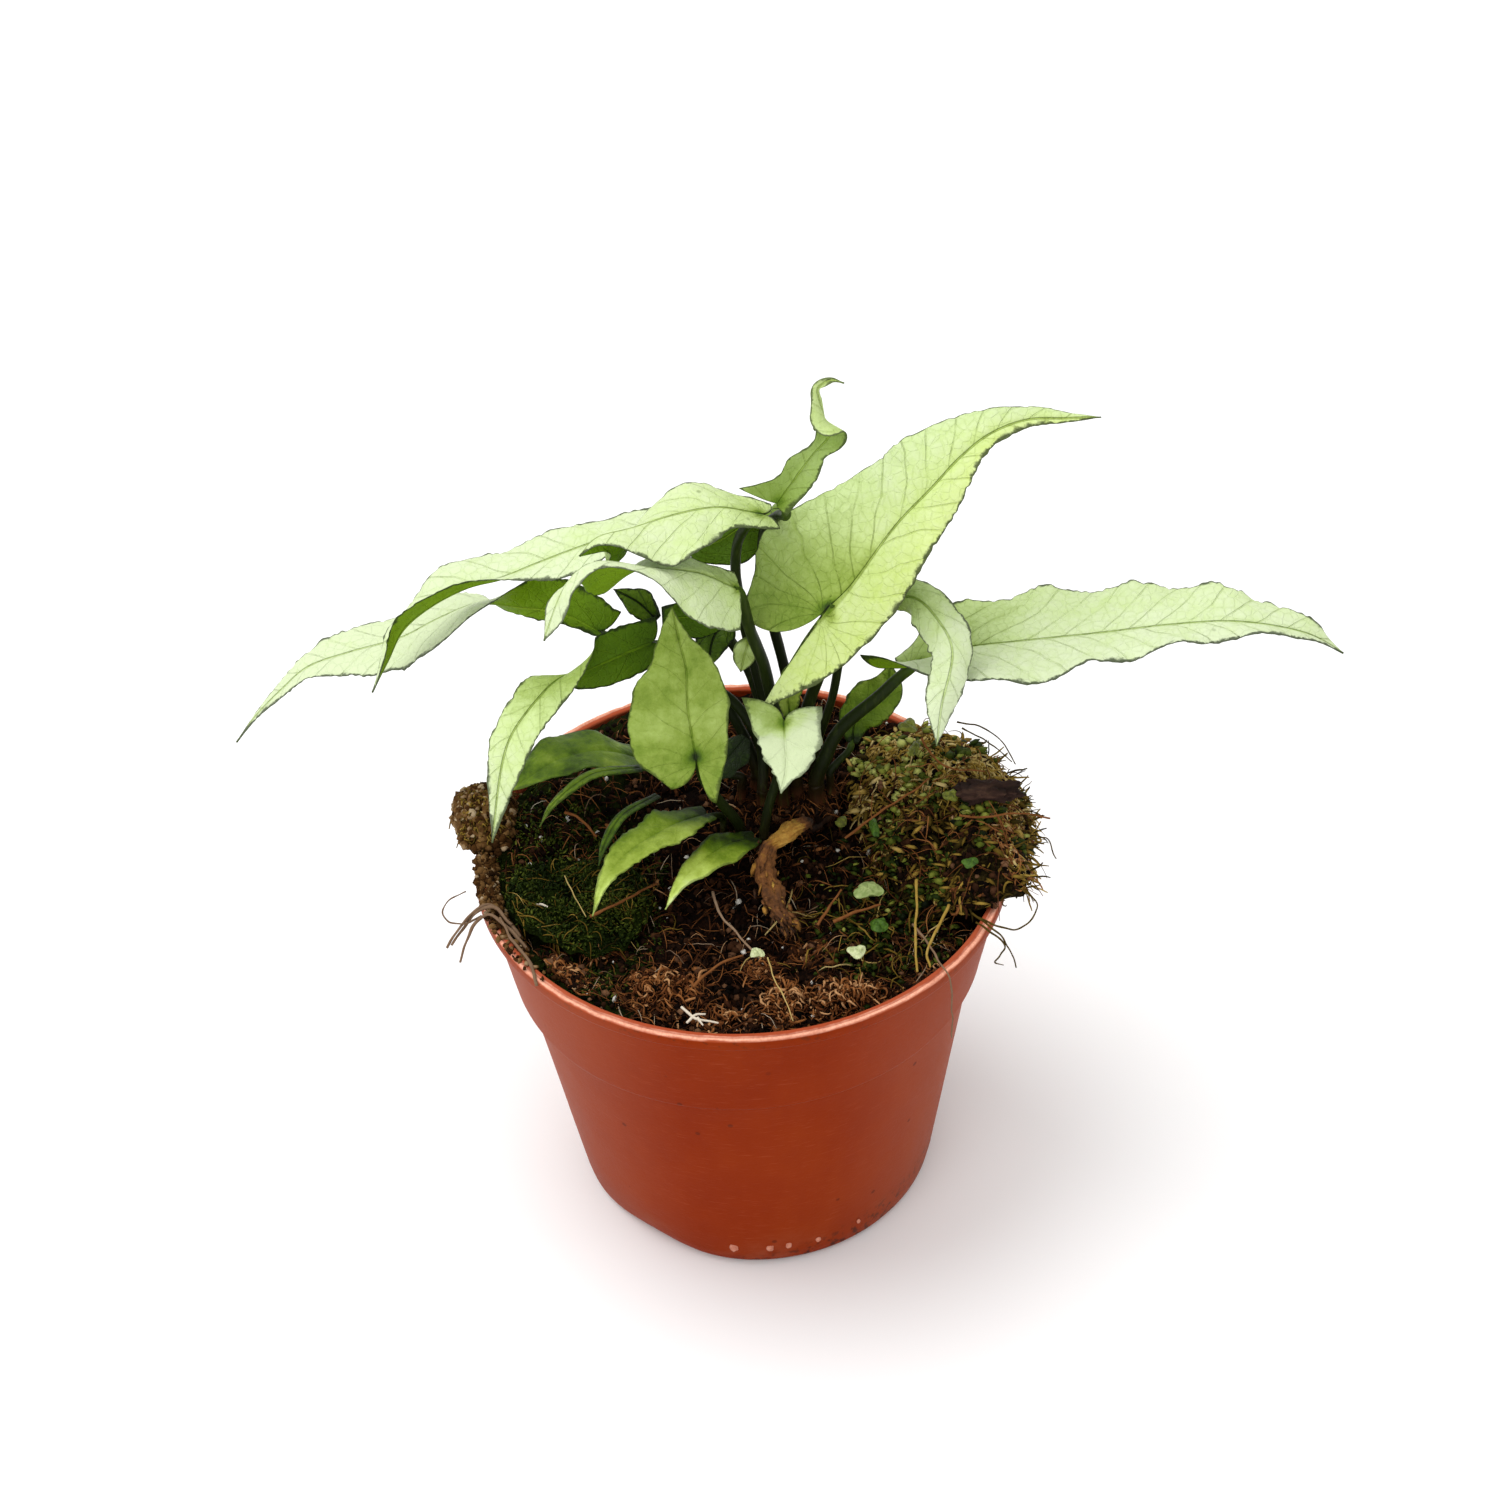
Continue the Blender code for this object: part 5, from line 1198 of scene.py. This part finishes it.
def dressSoil():
    rng = np.random.default_rng(8)
    x, y = openSoil(rng, 4600)
    count = len(x)
    grains("peatCrumbs", rng, x, y, roughSoil(x, y) + rng.uniform(0, 0.4, count), (0.16, 0.7),
           rng.normal(0.36, 0.24, count), crumbPaint)
    x, y = openSoil(rng, 1300)
    strands("peatFibres", rng, x, y, (1.5, 7), (0.05, 0.14), rng.normal(0.34, 0.2, len(x)), 0.16, roughSoil,
            (0.2, 1.3), brownPaint, limit=41.8, sink=0.0)
    x, y = openSoil(rng, 420)
    sprigs("mixFlakes", rng, x, y, roughSoil(x, y) + rng.uniform(0, 0.5, len(x)), (-0.2, 0.4),
           (1.0, 3.2), (0.15, 0.4), rng.normal(0.38, 0.18, len(x)), brownPaint)
    x, y = openSoil(rng, 420)
    strands("palestFibres", rng, x, y, (1.2, 5), (0.035, 0.08), rng.normal(0.66, 0.16, len(x)),
            0.12, roughSoil, (0.4, 1.5), brownPaint, limit=41.8, sink=0.0)
    for name, many, paint in (("frontMoss", 6500, sprigPaint), ("frontTangle", 1500, goldPaint)):
        x, y = openSoil(rng, many)
        keep = rng.uniform(0, 1, len(x)) < np.exp(-((x - 23) / 10) ** 2 - ((y + 13) / 11) ** 2)
        x, y = x[keep], y[keep]
        if name == "frontMoss":
            sprigs(name, rng, x, y, roughSoil(x, y) + rng.uniform(0, 0.9, len(x)), (-0.1, 0.9),
                   (0.8, 2.3), (0.4, 0.75), rng.normal(0.35, 0.2, len(x)), paint)
        else:
            strands(name, rng, x, y, (3, 9), (0.07, 0.2), rng.normal(0.42, 0.22, len(x)), 0.2,
                    roughSoil, (0.5, 2.2), paint, limit=41.8, sink=0.0)
    xs, ys, lift, tint = [], [], [], []
    for cx, cy, rx, ry, high, many in tufts:
        r, angle = np.sqrt(rng.uniform(0, 1, many)), rng.uniform(0, 2 * np.pi, many)
        xs.append(cx + rx * r * np.cos(angle))
        ys.append(cy + ry * r * np.sin(angle))
        lift.append(high * (1 - r ** 2) + 0.2)
        # painted light: fibres near a tuft's middle, where it stands highest, are paler
        tint.append(rng.normal(0.50, 0.25, many) + 0.18 * (1 - r))
    x, y, lift, tint = map(np.concatenate, (xs, ys, lift, tint))
    inside = np.minimum(1, 41.2 / np.hypot(x, y))
    x, y = x * inside, y * inside
    clump = lumps(flatPoints(x, y), 2.2, 1.0)
    paths = layPaths(rng, x, y, rng.uniform(1.0, 3.6, len(x)), 7, 0.5, roughSoil, lift * 0.6, 41.8)
    paths[..., 2] += (lift * (0.5 + 0.6 * clump))[:, None]
    # painted light: the fibres that a clump lifts higher are paler
    addStrands("fibreTufts", paths, rng.uniform(0.10, 0.28, len(x)), tint - 0.02 + 0.22 * clump,
               tuftPaint)
    grains("tuftCrumbs", rng, x[::2], y[::2],
           roughSoil(x[::2], y[::2]) + (lift * (0.5 + 0.6 * clump))[::2] * 0.8,
           (0.25, 0.8), rng.normal(0.55, 0.25, len(x[::2])), crumbPaint)
    x, y = openSoil(rng, 110)
    strands("paleRoots", rng, x, y, (2, 8), (0.05, 0.12), rng.uniform(0.2, 0.85, len(x)), 0.09, roughSoil,
            (0.3, 1.4), rootPaint, 9, 41.8, 0.0)
    x, y = openSoil(rng, 60)
    p = Paint("perlite", Specular_IOR_Level=0.3)
    grit = p.noise(p.place(), 0.4, 3)
    perlite = p.finish(p.scale((0.3, (0.30, 0.27, 0.22)), (0.7, (0.78, 0.76, 0.70)), by=grit), 0.8, grit, 0.1)
    grains("perlite", rng, x, y, roughSoil(x, y) + 0.5, (0.18, 0.6), np.full(len(x), 0.5), perlite)
    print("mix dressed")


dressSoil()

# single roots, fibres and twigs: lines of points, thickness at start and end, tint, paint, a kind (root, moss
# or soil), and the solid that each stands for
looseLines = {
    "rootPaleFront": ([[(-6, -9.5, 71.5), (-5, -14, 70.9), (-2, -19, 70.6), (1, -23.5, 69.8)]],
                      0.27, 0.17, 0.42, rootPaint, "root", ["root_pale_front"]),
    "rootOverRim": ([[(27.5, -20, 72.5), (30, -26, 73), (31.6, -30.6, 73.3), (32.8, -33, 72.4),
                      (33.2, -33.6, 66),
                      (33.4, -33.4, 59)]], 0.22, 0.12, 0.30, rootPaint, "root", ["root_over_rim"]),
    "rootBundleLeft": ([
        [(-38.7, -19.0, 71.5), (-41.6, -14.8, 73), (-44.2, -12.9, 73.6), (-47.2, -14.6, 73),
         (-49.4, -16.0, 71), (-51.4, -17.7, 68.5)],
        [(-37.3, -21.7, 71.3), (-40.7, -17.6, 72.6), (-43.8, -15.1, 73.4), (-46.4, -16.5, 72.5),
         (-48.0, -18.0, 70), (-49.1, -19.7, 67)],
        [(-40.1, -16.9, 72.6), (-42.9, -14.1, 74), (-45.9, -14.3, 73.4), (-48.8, -15.6, 70.5),
         (-50.5, -17.6, 69)],
        [(-35.6, -30.6, 72), (-36.8, -25.7, 72.5), (-39.9, -20.9, 73), (-42, -15.8, 73.4)]], 0.33, 0.22, 0.27,
        rootPaint, "root", ["root_loop_left"]),
    "rimLoop": ([[(-45.2, -14.9, 73), (-47.6, -16.0, 72.5), (-50.8, -14.5, 71.5), (-52.3, -12.1, 71.5),
                  (-50.9, -10.2, 72.5), (-48.1, -9.2, 73.3)]], 0.17, 0.12, 0.2, rootPaint, "root", []),
    "longStems": ([[(28.6, -10.9, 74), (28.4, -16.1, 73.2), (27.7, -22.6, 72.6), (27.6, -31.1, 72.4)],
                   [(33.7, -17.2, 74), (31.1, -23.0, 73.5), (29.4, -27.2, 72.8), (29.8, -30.6, 73)]], 0.28,
                   0.2,
                  0.75, goldPaint, "moss", []),
    "darkArcs": ([[(37.6, 18.1, 84), (41.3, 16.0, 84.5), (44.7, 14.1, 83), (47.4, 12.2, 79)],
                  [(38.2, 16.5, 84), (42.4, 12.6, 84), (46.6, 11.6, 80)],
                  [(38.5, -20, 73.5), (43.5, -23.6, 74), (46.1, -22.6, 74), (48.1, -20.1, 74.5),
                   (48.2, -18.3, 75.5), (45.6, -15.6, 76)],
                  [(37.5, -19, 73.6), (41.8, -23.7, 73), (43.9, -24.6, 69), (44.6, -24.7, 66)],
                  [(38, -21, 73.4), (42.4, -24.6, 72), (41.9, -24.5, 69), (41.0, -25.1, 68),
                   (42.4, -24.9, 67)],
                  [(45.5, -7, 77.5), (48.2, -6.2, 78), (51.1, -5.3, 77.5), (52.0, -6.7, 76),
                   (52.8, -6.7, 74)]],
                 0.17, 0.1, 0.3, goldPaint, "moss", []),
    "tanTwigs": ([[(36.6, -2.2, 80.5), (40.7, -3.4, 81), (46.0, -2.0, 80.6), (52.1, -1.4, 78.4)],
                  [(16.8, -4.1, 78), (23.0, 0.0, 80), (29.2, 3.1, 82), (31.9, 6.0, 82)],
                  [(31.0, 13.1, 85), (32.5, 9.7, 84), (35.5, 7.3, 83), (41.5, 7.1, 82)]], 0.24, 0.14, 0.6,
                 brownPaint, "moss", []),
    "brownTwigs": ([[(-9.6, -32.4, 72), (-7.6, -30.3, 72.6), (-4.7, -27.8, 73), (-1.2, -25.6, 72.3)],
                    [(11.4, -18.9, 72), (13.3, -16.4, 73), (15.9, -11.6, 73)],
                    [(14.1, -18.3, 72), (17.9, -17.1, 73), (22.2, -15.6, 73)],
                    [(-27.0, -15.0, 72), (-23.2, -13.4, 72.8), (-18.5, -10.4, 73), (-15.6, -7.3, 72)],
                    [(-31.5, 7.1, 76), (-29.0, 6.0, 75.5), (-26, 3.1, 73.5)]], 0.3, 0.2, 0.6,
                    brownPaint, "soil", []),
    "strawThreads": ([[(2.9, -26.7, 72.5), (3.9, -32.6, 73.2), (5.5, -37.0, 73), (6.6, -41.0, 72.2)],
                      [(-31.5, -4.7, 72), (-30.1, -9.3, 72.6), (-27.7, -14.7, 71.8)]], 0.13, 0.09,
                      0.9, goldPaint,
                     "soil", []),
    "whiteRoots": ([[(-11.5, -36.5, 71.5), (-9.8, -39.0, 72), (-8.5, -39.8, 72), (-5.5, -40.4, 71.7)],
                    [(-10.8, -40.0, 71.6), (-9.2, -38.8, 72.2), (-7.6, -38.6, 72)],
                    [(-8.9, -39.4, 72.1), (-8.0, -41.0, 71.8)],
                    [(-37.2, -12.4, 72.3), (-35.5, -12.0, 72.5), (-34.2, -12.6, 72.3)]],
                   0.25, 0.15, 0.86, rootPaint, "root", []),
}


def makeLooseLine(name, lines, thick, thin, tint, paint, finish, replaced):
    steps, sides = 40, 7
    t = np.linspace(0, 1, steps)
    paths = np.stack([spline(line, t) for line in lines])
    paths = paths + 0.16 * np.stack([lumps(paths, 1.9, k + 0.5) for k in range(3)], -1)
    radii = (thick + (thin - thick) * t)[None] * (1 + 0.25 * lumps(paths, 1.2, 4.0))
    cloud, faces = tubes(paths, radii, sides)
    addPiece(name, cloud, faces, {"tint": np.full(len(cloud), tint)}, paint, replaced)


for lineName, line in looseLines.items():
    makeLooseLine(lineName, *line)


def makeSheath():
    # dead leaf sheath: a flattened tube, grooved and torn, with flakes along its trunk
    rng = np.random.default_rng(4)
    line = [(11.2, 3.0, 75.6), (7, -0.4, 76.2), (3.4, -3.2, 75.6), (3.2, -8, 72.8), (4.6, -13, 71.9),
            (6.4, -18, 71.0)]
    steps, sides = 150, 48
    t = np.linspace(0, 1, steps)
    bends = np.stack([t * 30, 0 * t, 0 * t], -1)
    path = spline(line, t) + 0.35 * np.stack([lumps(bends, 2.4, k) for k in (1, 4, 7)], -1)
    cloud, faces = tubes(path[None], np.full((1, steps), 1.0), sides)
    ring = cloud.reshape(steps, sides, 3) - path[:, None]
    angle = np.linspace(0, 2 * np.pi, sides, endpoint=False)[None]
    radius = np.interp(t, [0, 0.04, 0.2, 0.33, 0.4, 0.6, 0.85, 0.96, 1],
                       [0.2, 1.3, 1.5, 1.1, 1.2, 1.5, 1.5, 1.0, 0.2])
    wall = np.stack([np.cos(angle + 2 * t[:, None]) * 4, np.sin(angle + 2 * t[:, None]) * 4,
                     t[:, None] * 5 + 0 * angle], -1)
    groove = lumps(wall, 0.9) * 0.45 + lumps(wall, 0.4) * 0.2
    torn = lumps(path[:, None] + ring, 0.9) * 0.35
    ring = ring * (radius[:, None] * (1 + groove + torn * smooth(0.3, 0.42, t)[:, None]))[..., None]
    ring[..., 2] *= 0.6
    points = path[:, None] + ring
    p = Paint("deadSheath", Specular_IOR_Level=0.25)
    where = p.place()
    tint = p.field("tint") + (p.noise(where, 2.4, 4, 0.65) - 0.5) * 0.55
    tint = tint + (p.noise(where, 0.7, 3) - 0.5) * 0.5
    skin = p.scale((0.05, (0.52, 0.30, 0.055)), (0.25, (0.36, 0.17, 0.025)), (0.45, (0.20, 0.075, 0.018)),
                   (0.65, (0.09, 0.032, 0.008)), (0.9, (0.02, 0.008, 0.003)), by=tint)
    paint = p.finish(skin, 0.75, p.noise(where, 0.5, 3, 0.6), 0.2)
    hue = np.interp(t, [0, 0.06, 0.12, 0.30, 0.38, 0.7, 1], [0.9, 0.6, 0.2, 0.15, 0.5, 0.55, 0.7])
    addPiece("driedSheath", points, faces, {"tint": np.repeat(hue, sides)}, paint, ["dead_sheath"])
    count = 150
    along = rng.uniform(0.33, 1.0, count)
    starts = spline(line, along) + rng.normal(0, 0.8, (count, 3)) * [1, 1, 0.4]
    trunk = spline(line, np.clip(along + 0.03, 0, 1)) - spline(line, along - 0.03)
    ways = unit(trunk) + rng.normal(0, 0.4, (count, 3))
    length = rng.uniform(1.0, 3.4, count)
    flakes, flakeFaces = leaflets(starts, ways,
                                  np.array([0, 0, 1.0]) + rng.normal(0, 0.5, (count, 3)), length,
                                  length * rng.uniform(0.2, 0.45, count), 0.12)
    addPiece("sheathFlakes", flakes, flakeFaces, {"tint": np.repeat(rng.uniform(0.15, 0.85, count), 8)},
             paint, ())


makeSheath()
print("roots, twigs and sheath made")


def makeBody(name, centre, reach, turned, rough, paint, replaced, power=1.0, rows=40, columns=64):
    # a rounded block: sphere angles raised to a power below 1 square it off, then value noise roughens it
    lat = np.linspace(0, np.pi, rows)[1:-1, None]
    lon = np.linspace(0, 2 * np.pi, columns, endpoint=False)[None]
    bend = lambda w: np.sign(w) * np.abs(w) ** power
    local = np.stack([bend(np.sin(lat)) * bend(np.cos(lon)), bend(np.sin(lat)) * bend(np.sin(lon)),
                      bend(np.cos(lat)) + 0 * lon], -1) * np.array(reach)
    local = np.concatenate([local.reshape(-1, 3), [[0, 0, reach[2]], [0, 0, -reach[2]]]])
    noise = lumps(local, min(reach) * 0.9, 1.3 + centre[0]) + 0.5 * lumps(local, min(reach) * 0.35, 2.9)
    local = local * (1 + rough * noise)[:, None]
    c, s = math.cos(turned), math.sin(turned)
    spun = np.stack([local[:, 0] * c - local[:, 1] * s, local[:, 0] * s + local[:, 1] * c, local[:, 2]], -1)
    addPiece(name, spun + np.array(centre), closedFaces(rows - 2, columns, True), {}, paint, replaced)


def makeThallus(name, centre, reach, turned, lobes, paint, replaced, finish="seedling"):
    # a small lobed leaf: a domed disc whose edge swells and dips in a few lobes
    rows, columns = 22, 72
    lon = np.linspace(0, 2 * np.pi, columns, endpoint=False)[None]
    out = np.concatenate([np.linspace(0.06, 1, rows), np.linspace(0.96, 0.06, 8)])[:, None]
    edge = 1 + 0.16 * np.cos(lobes * lon + centre[0]) + 0.10 * lumps(
        np.stack([np.cos(lon) * 2, np.sin(lon) * 2, 0 * lon + centre[1]], -1), 1.0)
    upper = (np.arange(len(out)) < rows)[:, None]
    dome = reach[2] * (1 - out ** 2 * 0.8 + 0.25 * np.sin(lobes * lon) * out)
    z = np.where(upper, dome, -reach[2] * 0.5 * (1 - out ** 2) + 0.15 * reach[2])
    spots = np.stack([out * np.cos(lon) * 3, out * np.sin(lon) * 3, 0 * z], -1)
    z = z + np.where(upper, 0.25 * reach[2] * lumps(spots, 0.8), 0)
    x, y = reach[0] * out * edge * np.cos(lon), reach[1] * out * edge * np.sin(lon)
    c, s = math.cos(turned), math.sin(turned)
    points = np.stack([x * c - y * s, x * s + y * c, z], -1).reshape(-1, 3)
    points = np.concatenate([points, [[0, 0, reach[2]], [0, 0, -reach[2] * 0.35]]]) + np.array(centre)
    addPiece(name, points, closedFaces(len(out), columns, True), {}, paint, replaced)


def paintRough(name, stops, size=1.6, rough=0.8, stretch=None, depth=0.2):
    p = Paint(name, Specular_IOR_Level=0.2)
    where = p.place()
    mix = p.noise(where, size, 4, 0.65, stretch)
    return p.finish(p.scale(*stops, by=mix), rough, mix, depth)


barkPaint = paintRough("barkChip", ((0.3, (0.008, 0.003, 0.002)), (0.55, (0.032, 0.014, 0.010)),
                                    (0.75, (0.09, 0.045, 0.028))), 1.6, 0.9, (0.2, 1, 1))
makeBody("barkSliver", (42.2, 2.6, 81.6), (5.0, 2.2, 1.2), 0.06, 0.42, barkPaint, ["bark_chip"], 0.6)
crownMiddle, crownCover = 71.2, (9.6, 8.2)  # its height, and the reach of what lies over it
crownPaint = paintRough("crownSkin", ((0.3, (0.008, 0.003, 0.0015)), (0.55, (0.030, 0.012, 0.005)),
                                      (0.8, (0.08, 0.045, 0.015))), 2.2, 0.7, (1, 1, 0.3))
makeBody("crownStem", (*crownAt, crownMiddle), (9.2, 7.8, 2.0), 0.0, 0.08,
         crownPaint, ["crown"], 0.8)


def coverCrown():
    # bits of mix and fibre lying over the crown
    rng = np.random.default_rng(12)
    count = 700
    r, angle = np.sqrt(rng.uniform(0, 1, count)), rng.uniform(0, 2 * np.pi, count)
    (crownX, crownY), (wide, deep) = crownAt, crownCover
    x, y = crownX + wide * r * np.cos(angle), crownY + deep * r * np.sin(angle)
    overStem = lambda atX, atY: crownMiddle + 1.9 * np.clip(
        1 - ((atX - crownX) / wide) ** 4 - ((atY - crownY) / deep) ** 4, 0, 1) ** 0.5
    grains("crownCrumbs", rng, x, y, overStem(x, y) - 0.1, (0.2, 0.8), rng.normal(0.42, 0.2, count),
           crumbPaint)
    strands("crownFibres", rng, x[:260], y[:260], (1.5, 5), (0.07, 0.18), rng.normal(0.4, 0.18, 260),
            0.25, overStem, (0.2, 1.0), brownPaint)


coverCrown()
thallusGreen = paintRough("liverwortGreen",
                          ((0.3, (0.015, 0.045, 0.003)), (0.7, (0.075, 0.16, 0.012))), 1.2, 0.45)
thallusPale = paintRough("liverwortPale", ((0.3, (0.16, 0.24, 0.05)), (0.7, (0.42, 0.50, 0.20))), 1.0, 0.45)
thallusWhite = paintRough("liverwortWhite", ((0.3, (0.34, 0.40, 0.15)), (0.7, (0.74, 0.78, 0.48))), 0.8, 0.5)
thallusOlive = paintRough("liverwortOlive",
                          ((0.3, (0.035, 0.042, 0.004)), (0.7, (0.20, 0.22, 0.025))), 1.0, 0.5)
liverworts = {  # centre, reach, turn, number of lobes, paint, CAD node replaced
    "liverwortPale": ((20.5, -10.2, 71.2), (2.4, 2.0, 1.0), 0.2, 3, thallusPale, ["seedling_pale"]),
    "liverwortGreen": ((21.8, -18, 70.4), (1.8, 1.5, 0.9), 0.0, 2, thallusGreen, ["seedling_green"]),
    "liverwortBack": ((16.4, 1.8, 76.2), (1.1, 1.2, 0.6), 0.0, 2, thallusOlive, []),
    "liverwortTall": ((21.9, -1.8, 77.9), (0.9, 2.1, 0.7), 0.1, 2, thallusGreen, []),
    "liverwortRight": ((35.2, 1.1, 82.1), (1.2, 1.5, 0.7), 0.2, 3, thallusOlive, []),
    "liverwortFar": ((37.5, -12.4, 79.0), (1.4, 1.2, 0.6), 0.5, 3, thallusGreen, []),
    "liverwortHigh": ((28.9, 17.4, 84.0), (1.6, 1.9, 0.7), 0.4, 3, thallusOlive, []),
    "liverwortHighLeft": ((29.6, 11.6, 83.9), (0.9, 2.0, 0.7), -0.2, 2, thallusOlive, []),
    "lobesFront": ((17.8, -26.1, 72.4), (1.5, 1.5, 0.9), 0.3, 3, thallusWhite, []),
    "lobesMiddle": ((1.1, -24.3, 71.2), (1.2, 1.1, 0.8), 0.0, 3, thallusWhite, []),
}
for thallusName, thallus in liverworts.items():
    makeThallus(thallusName, *thallus)
# the foot nubs are paler than the pot: partly scuffs, partly a painted highlight on their domes
nubScuffAndHighlightPaint = paintRough("footNub", ((0.3, (0.42, 0.13, 0.075)), (0.7, (0.62, 0.26, 0.17))), 1.0, 0.5)
for k, (angle, high) in enumerate(((-98.6, 5.2), (-87.3, 5.2), (-81.5, 5.4), (-72, 5.2), (-58, 5.8))):
    wide = float(wallRadius(high)) + 0.02
    turned = math.radians(angle)
    makeBody(f"footNub{k + 1}", (wide * math.cos(turned), wide * math.sin(turned), high),
             (0.75 - 0.1 * k, 0.3, 1.0 - 0.13 * k),
             turned + math.pi / 2, 0.2, nubScuffAndHighlightPaint, [], 0.8, 14, 20)
print("small growths made")
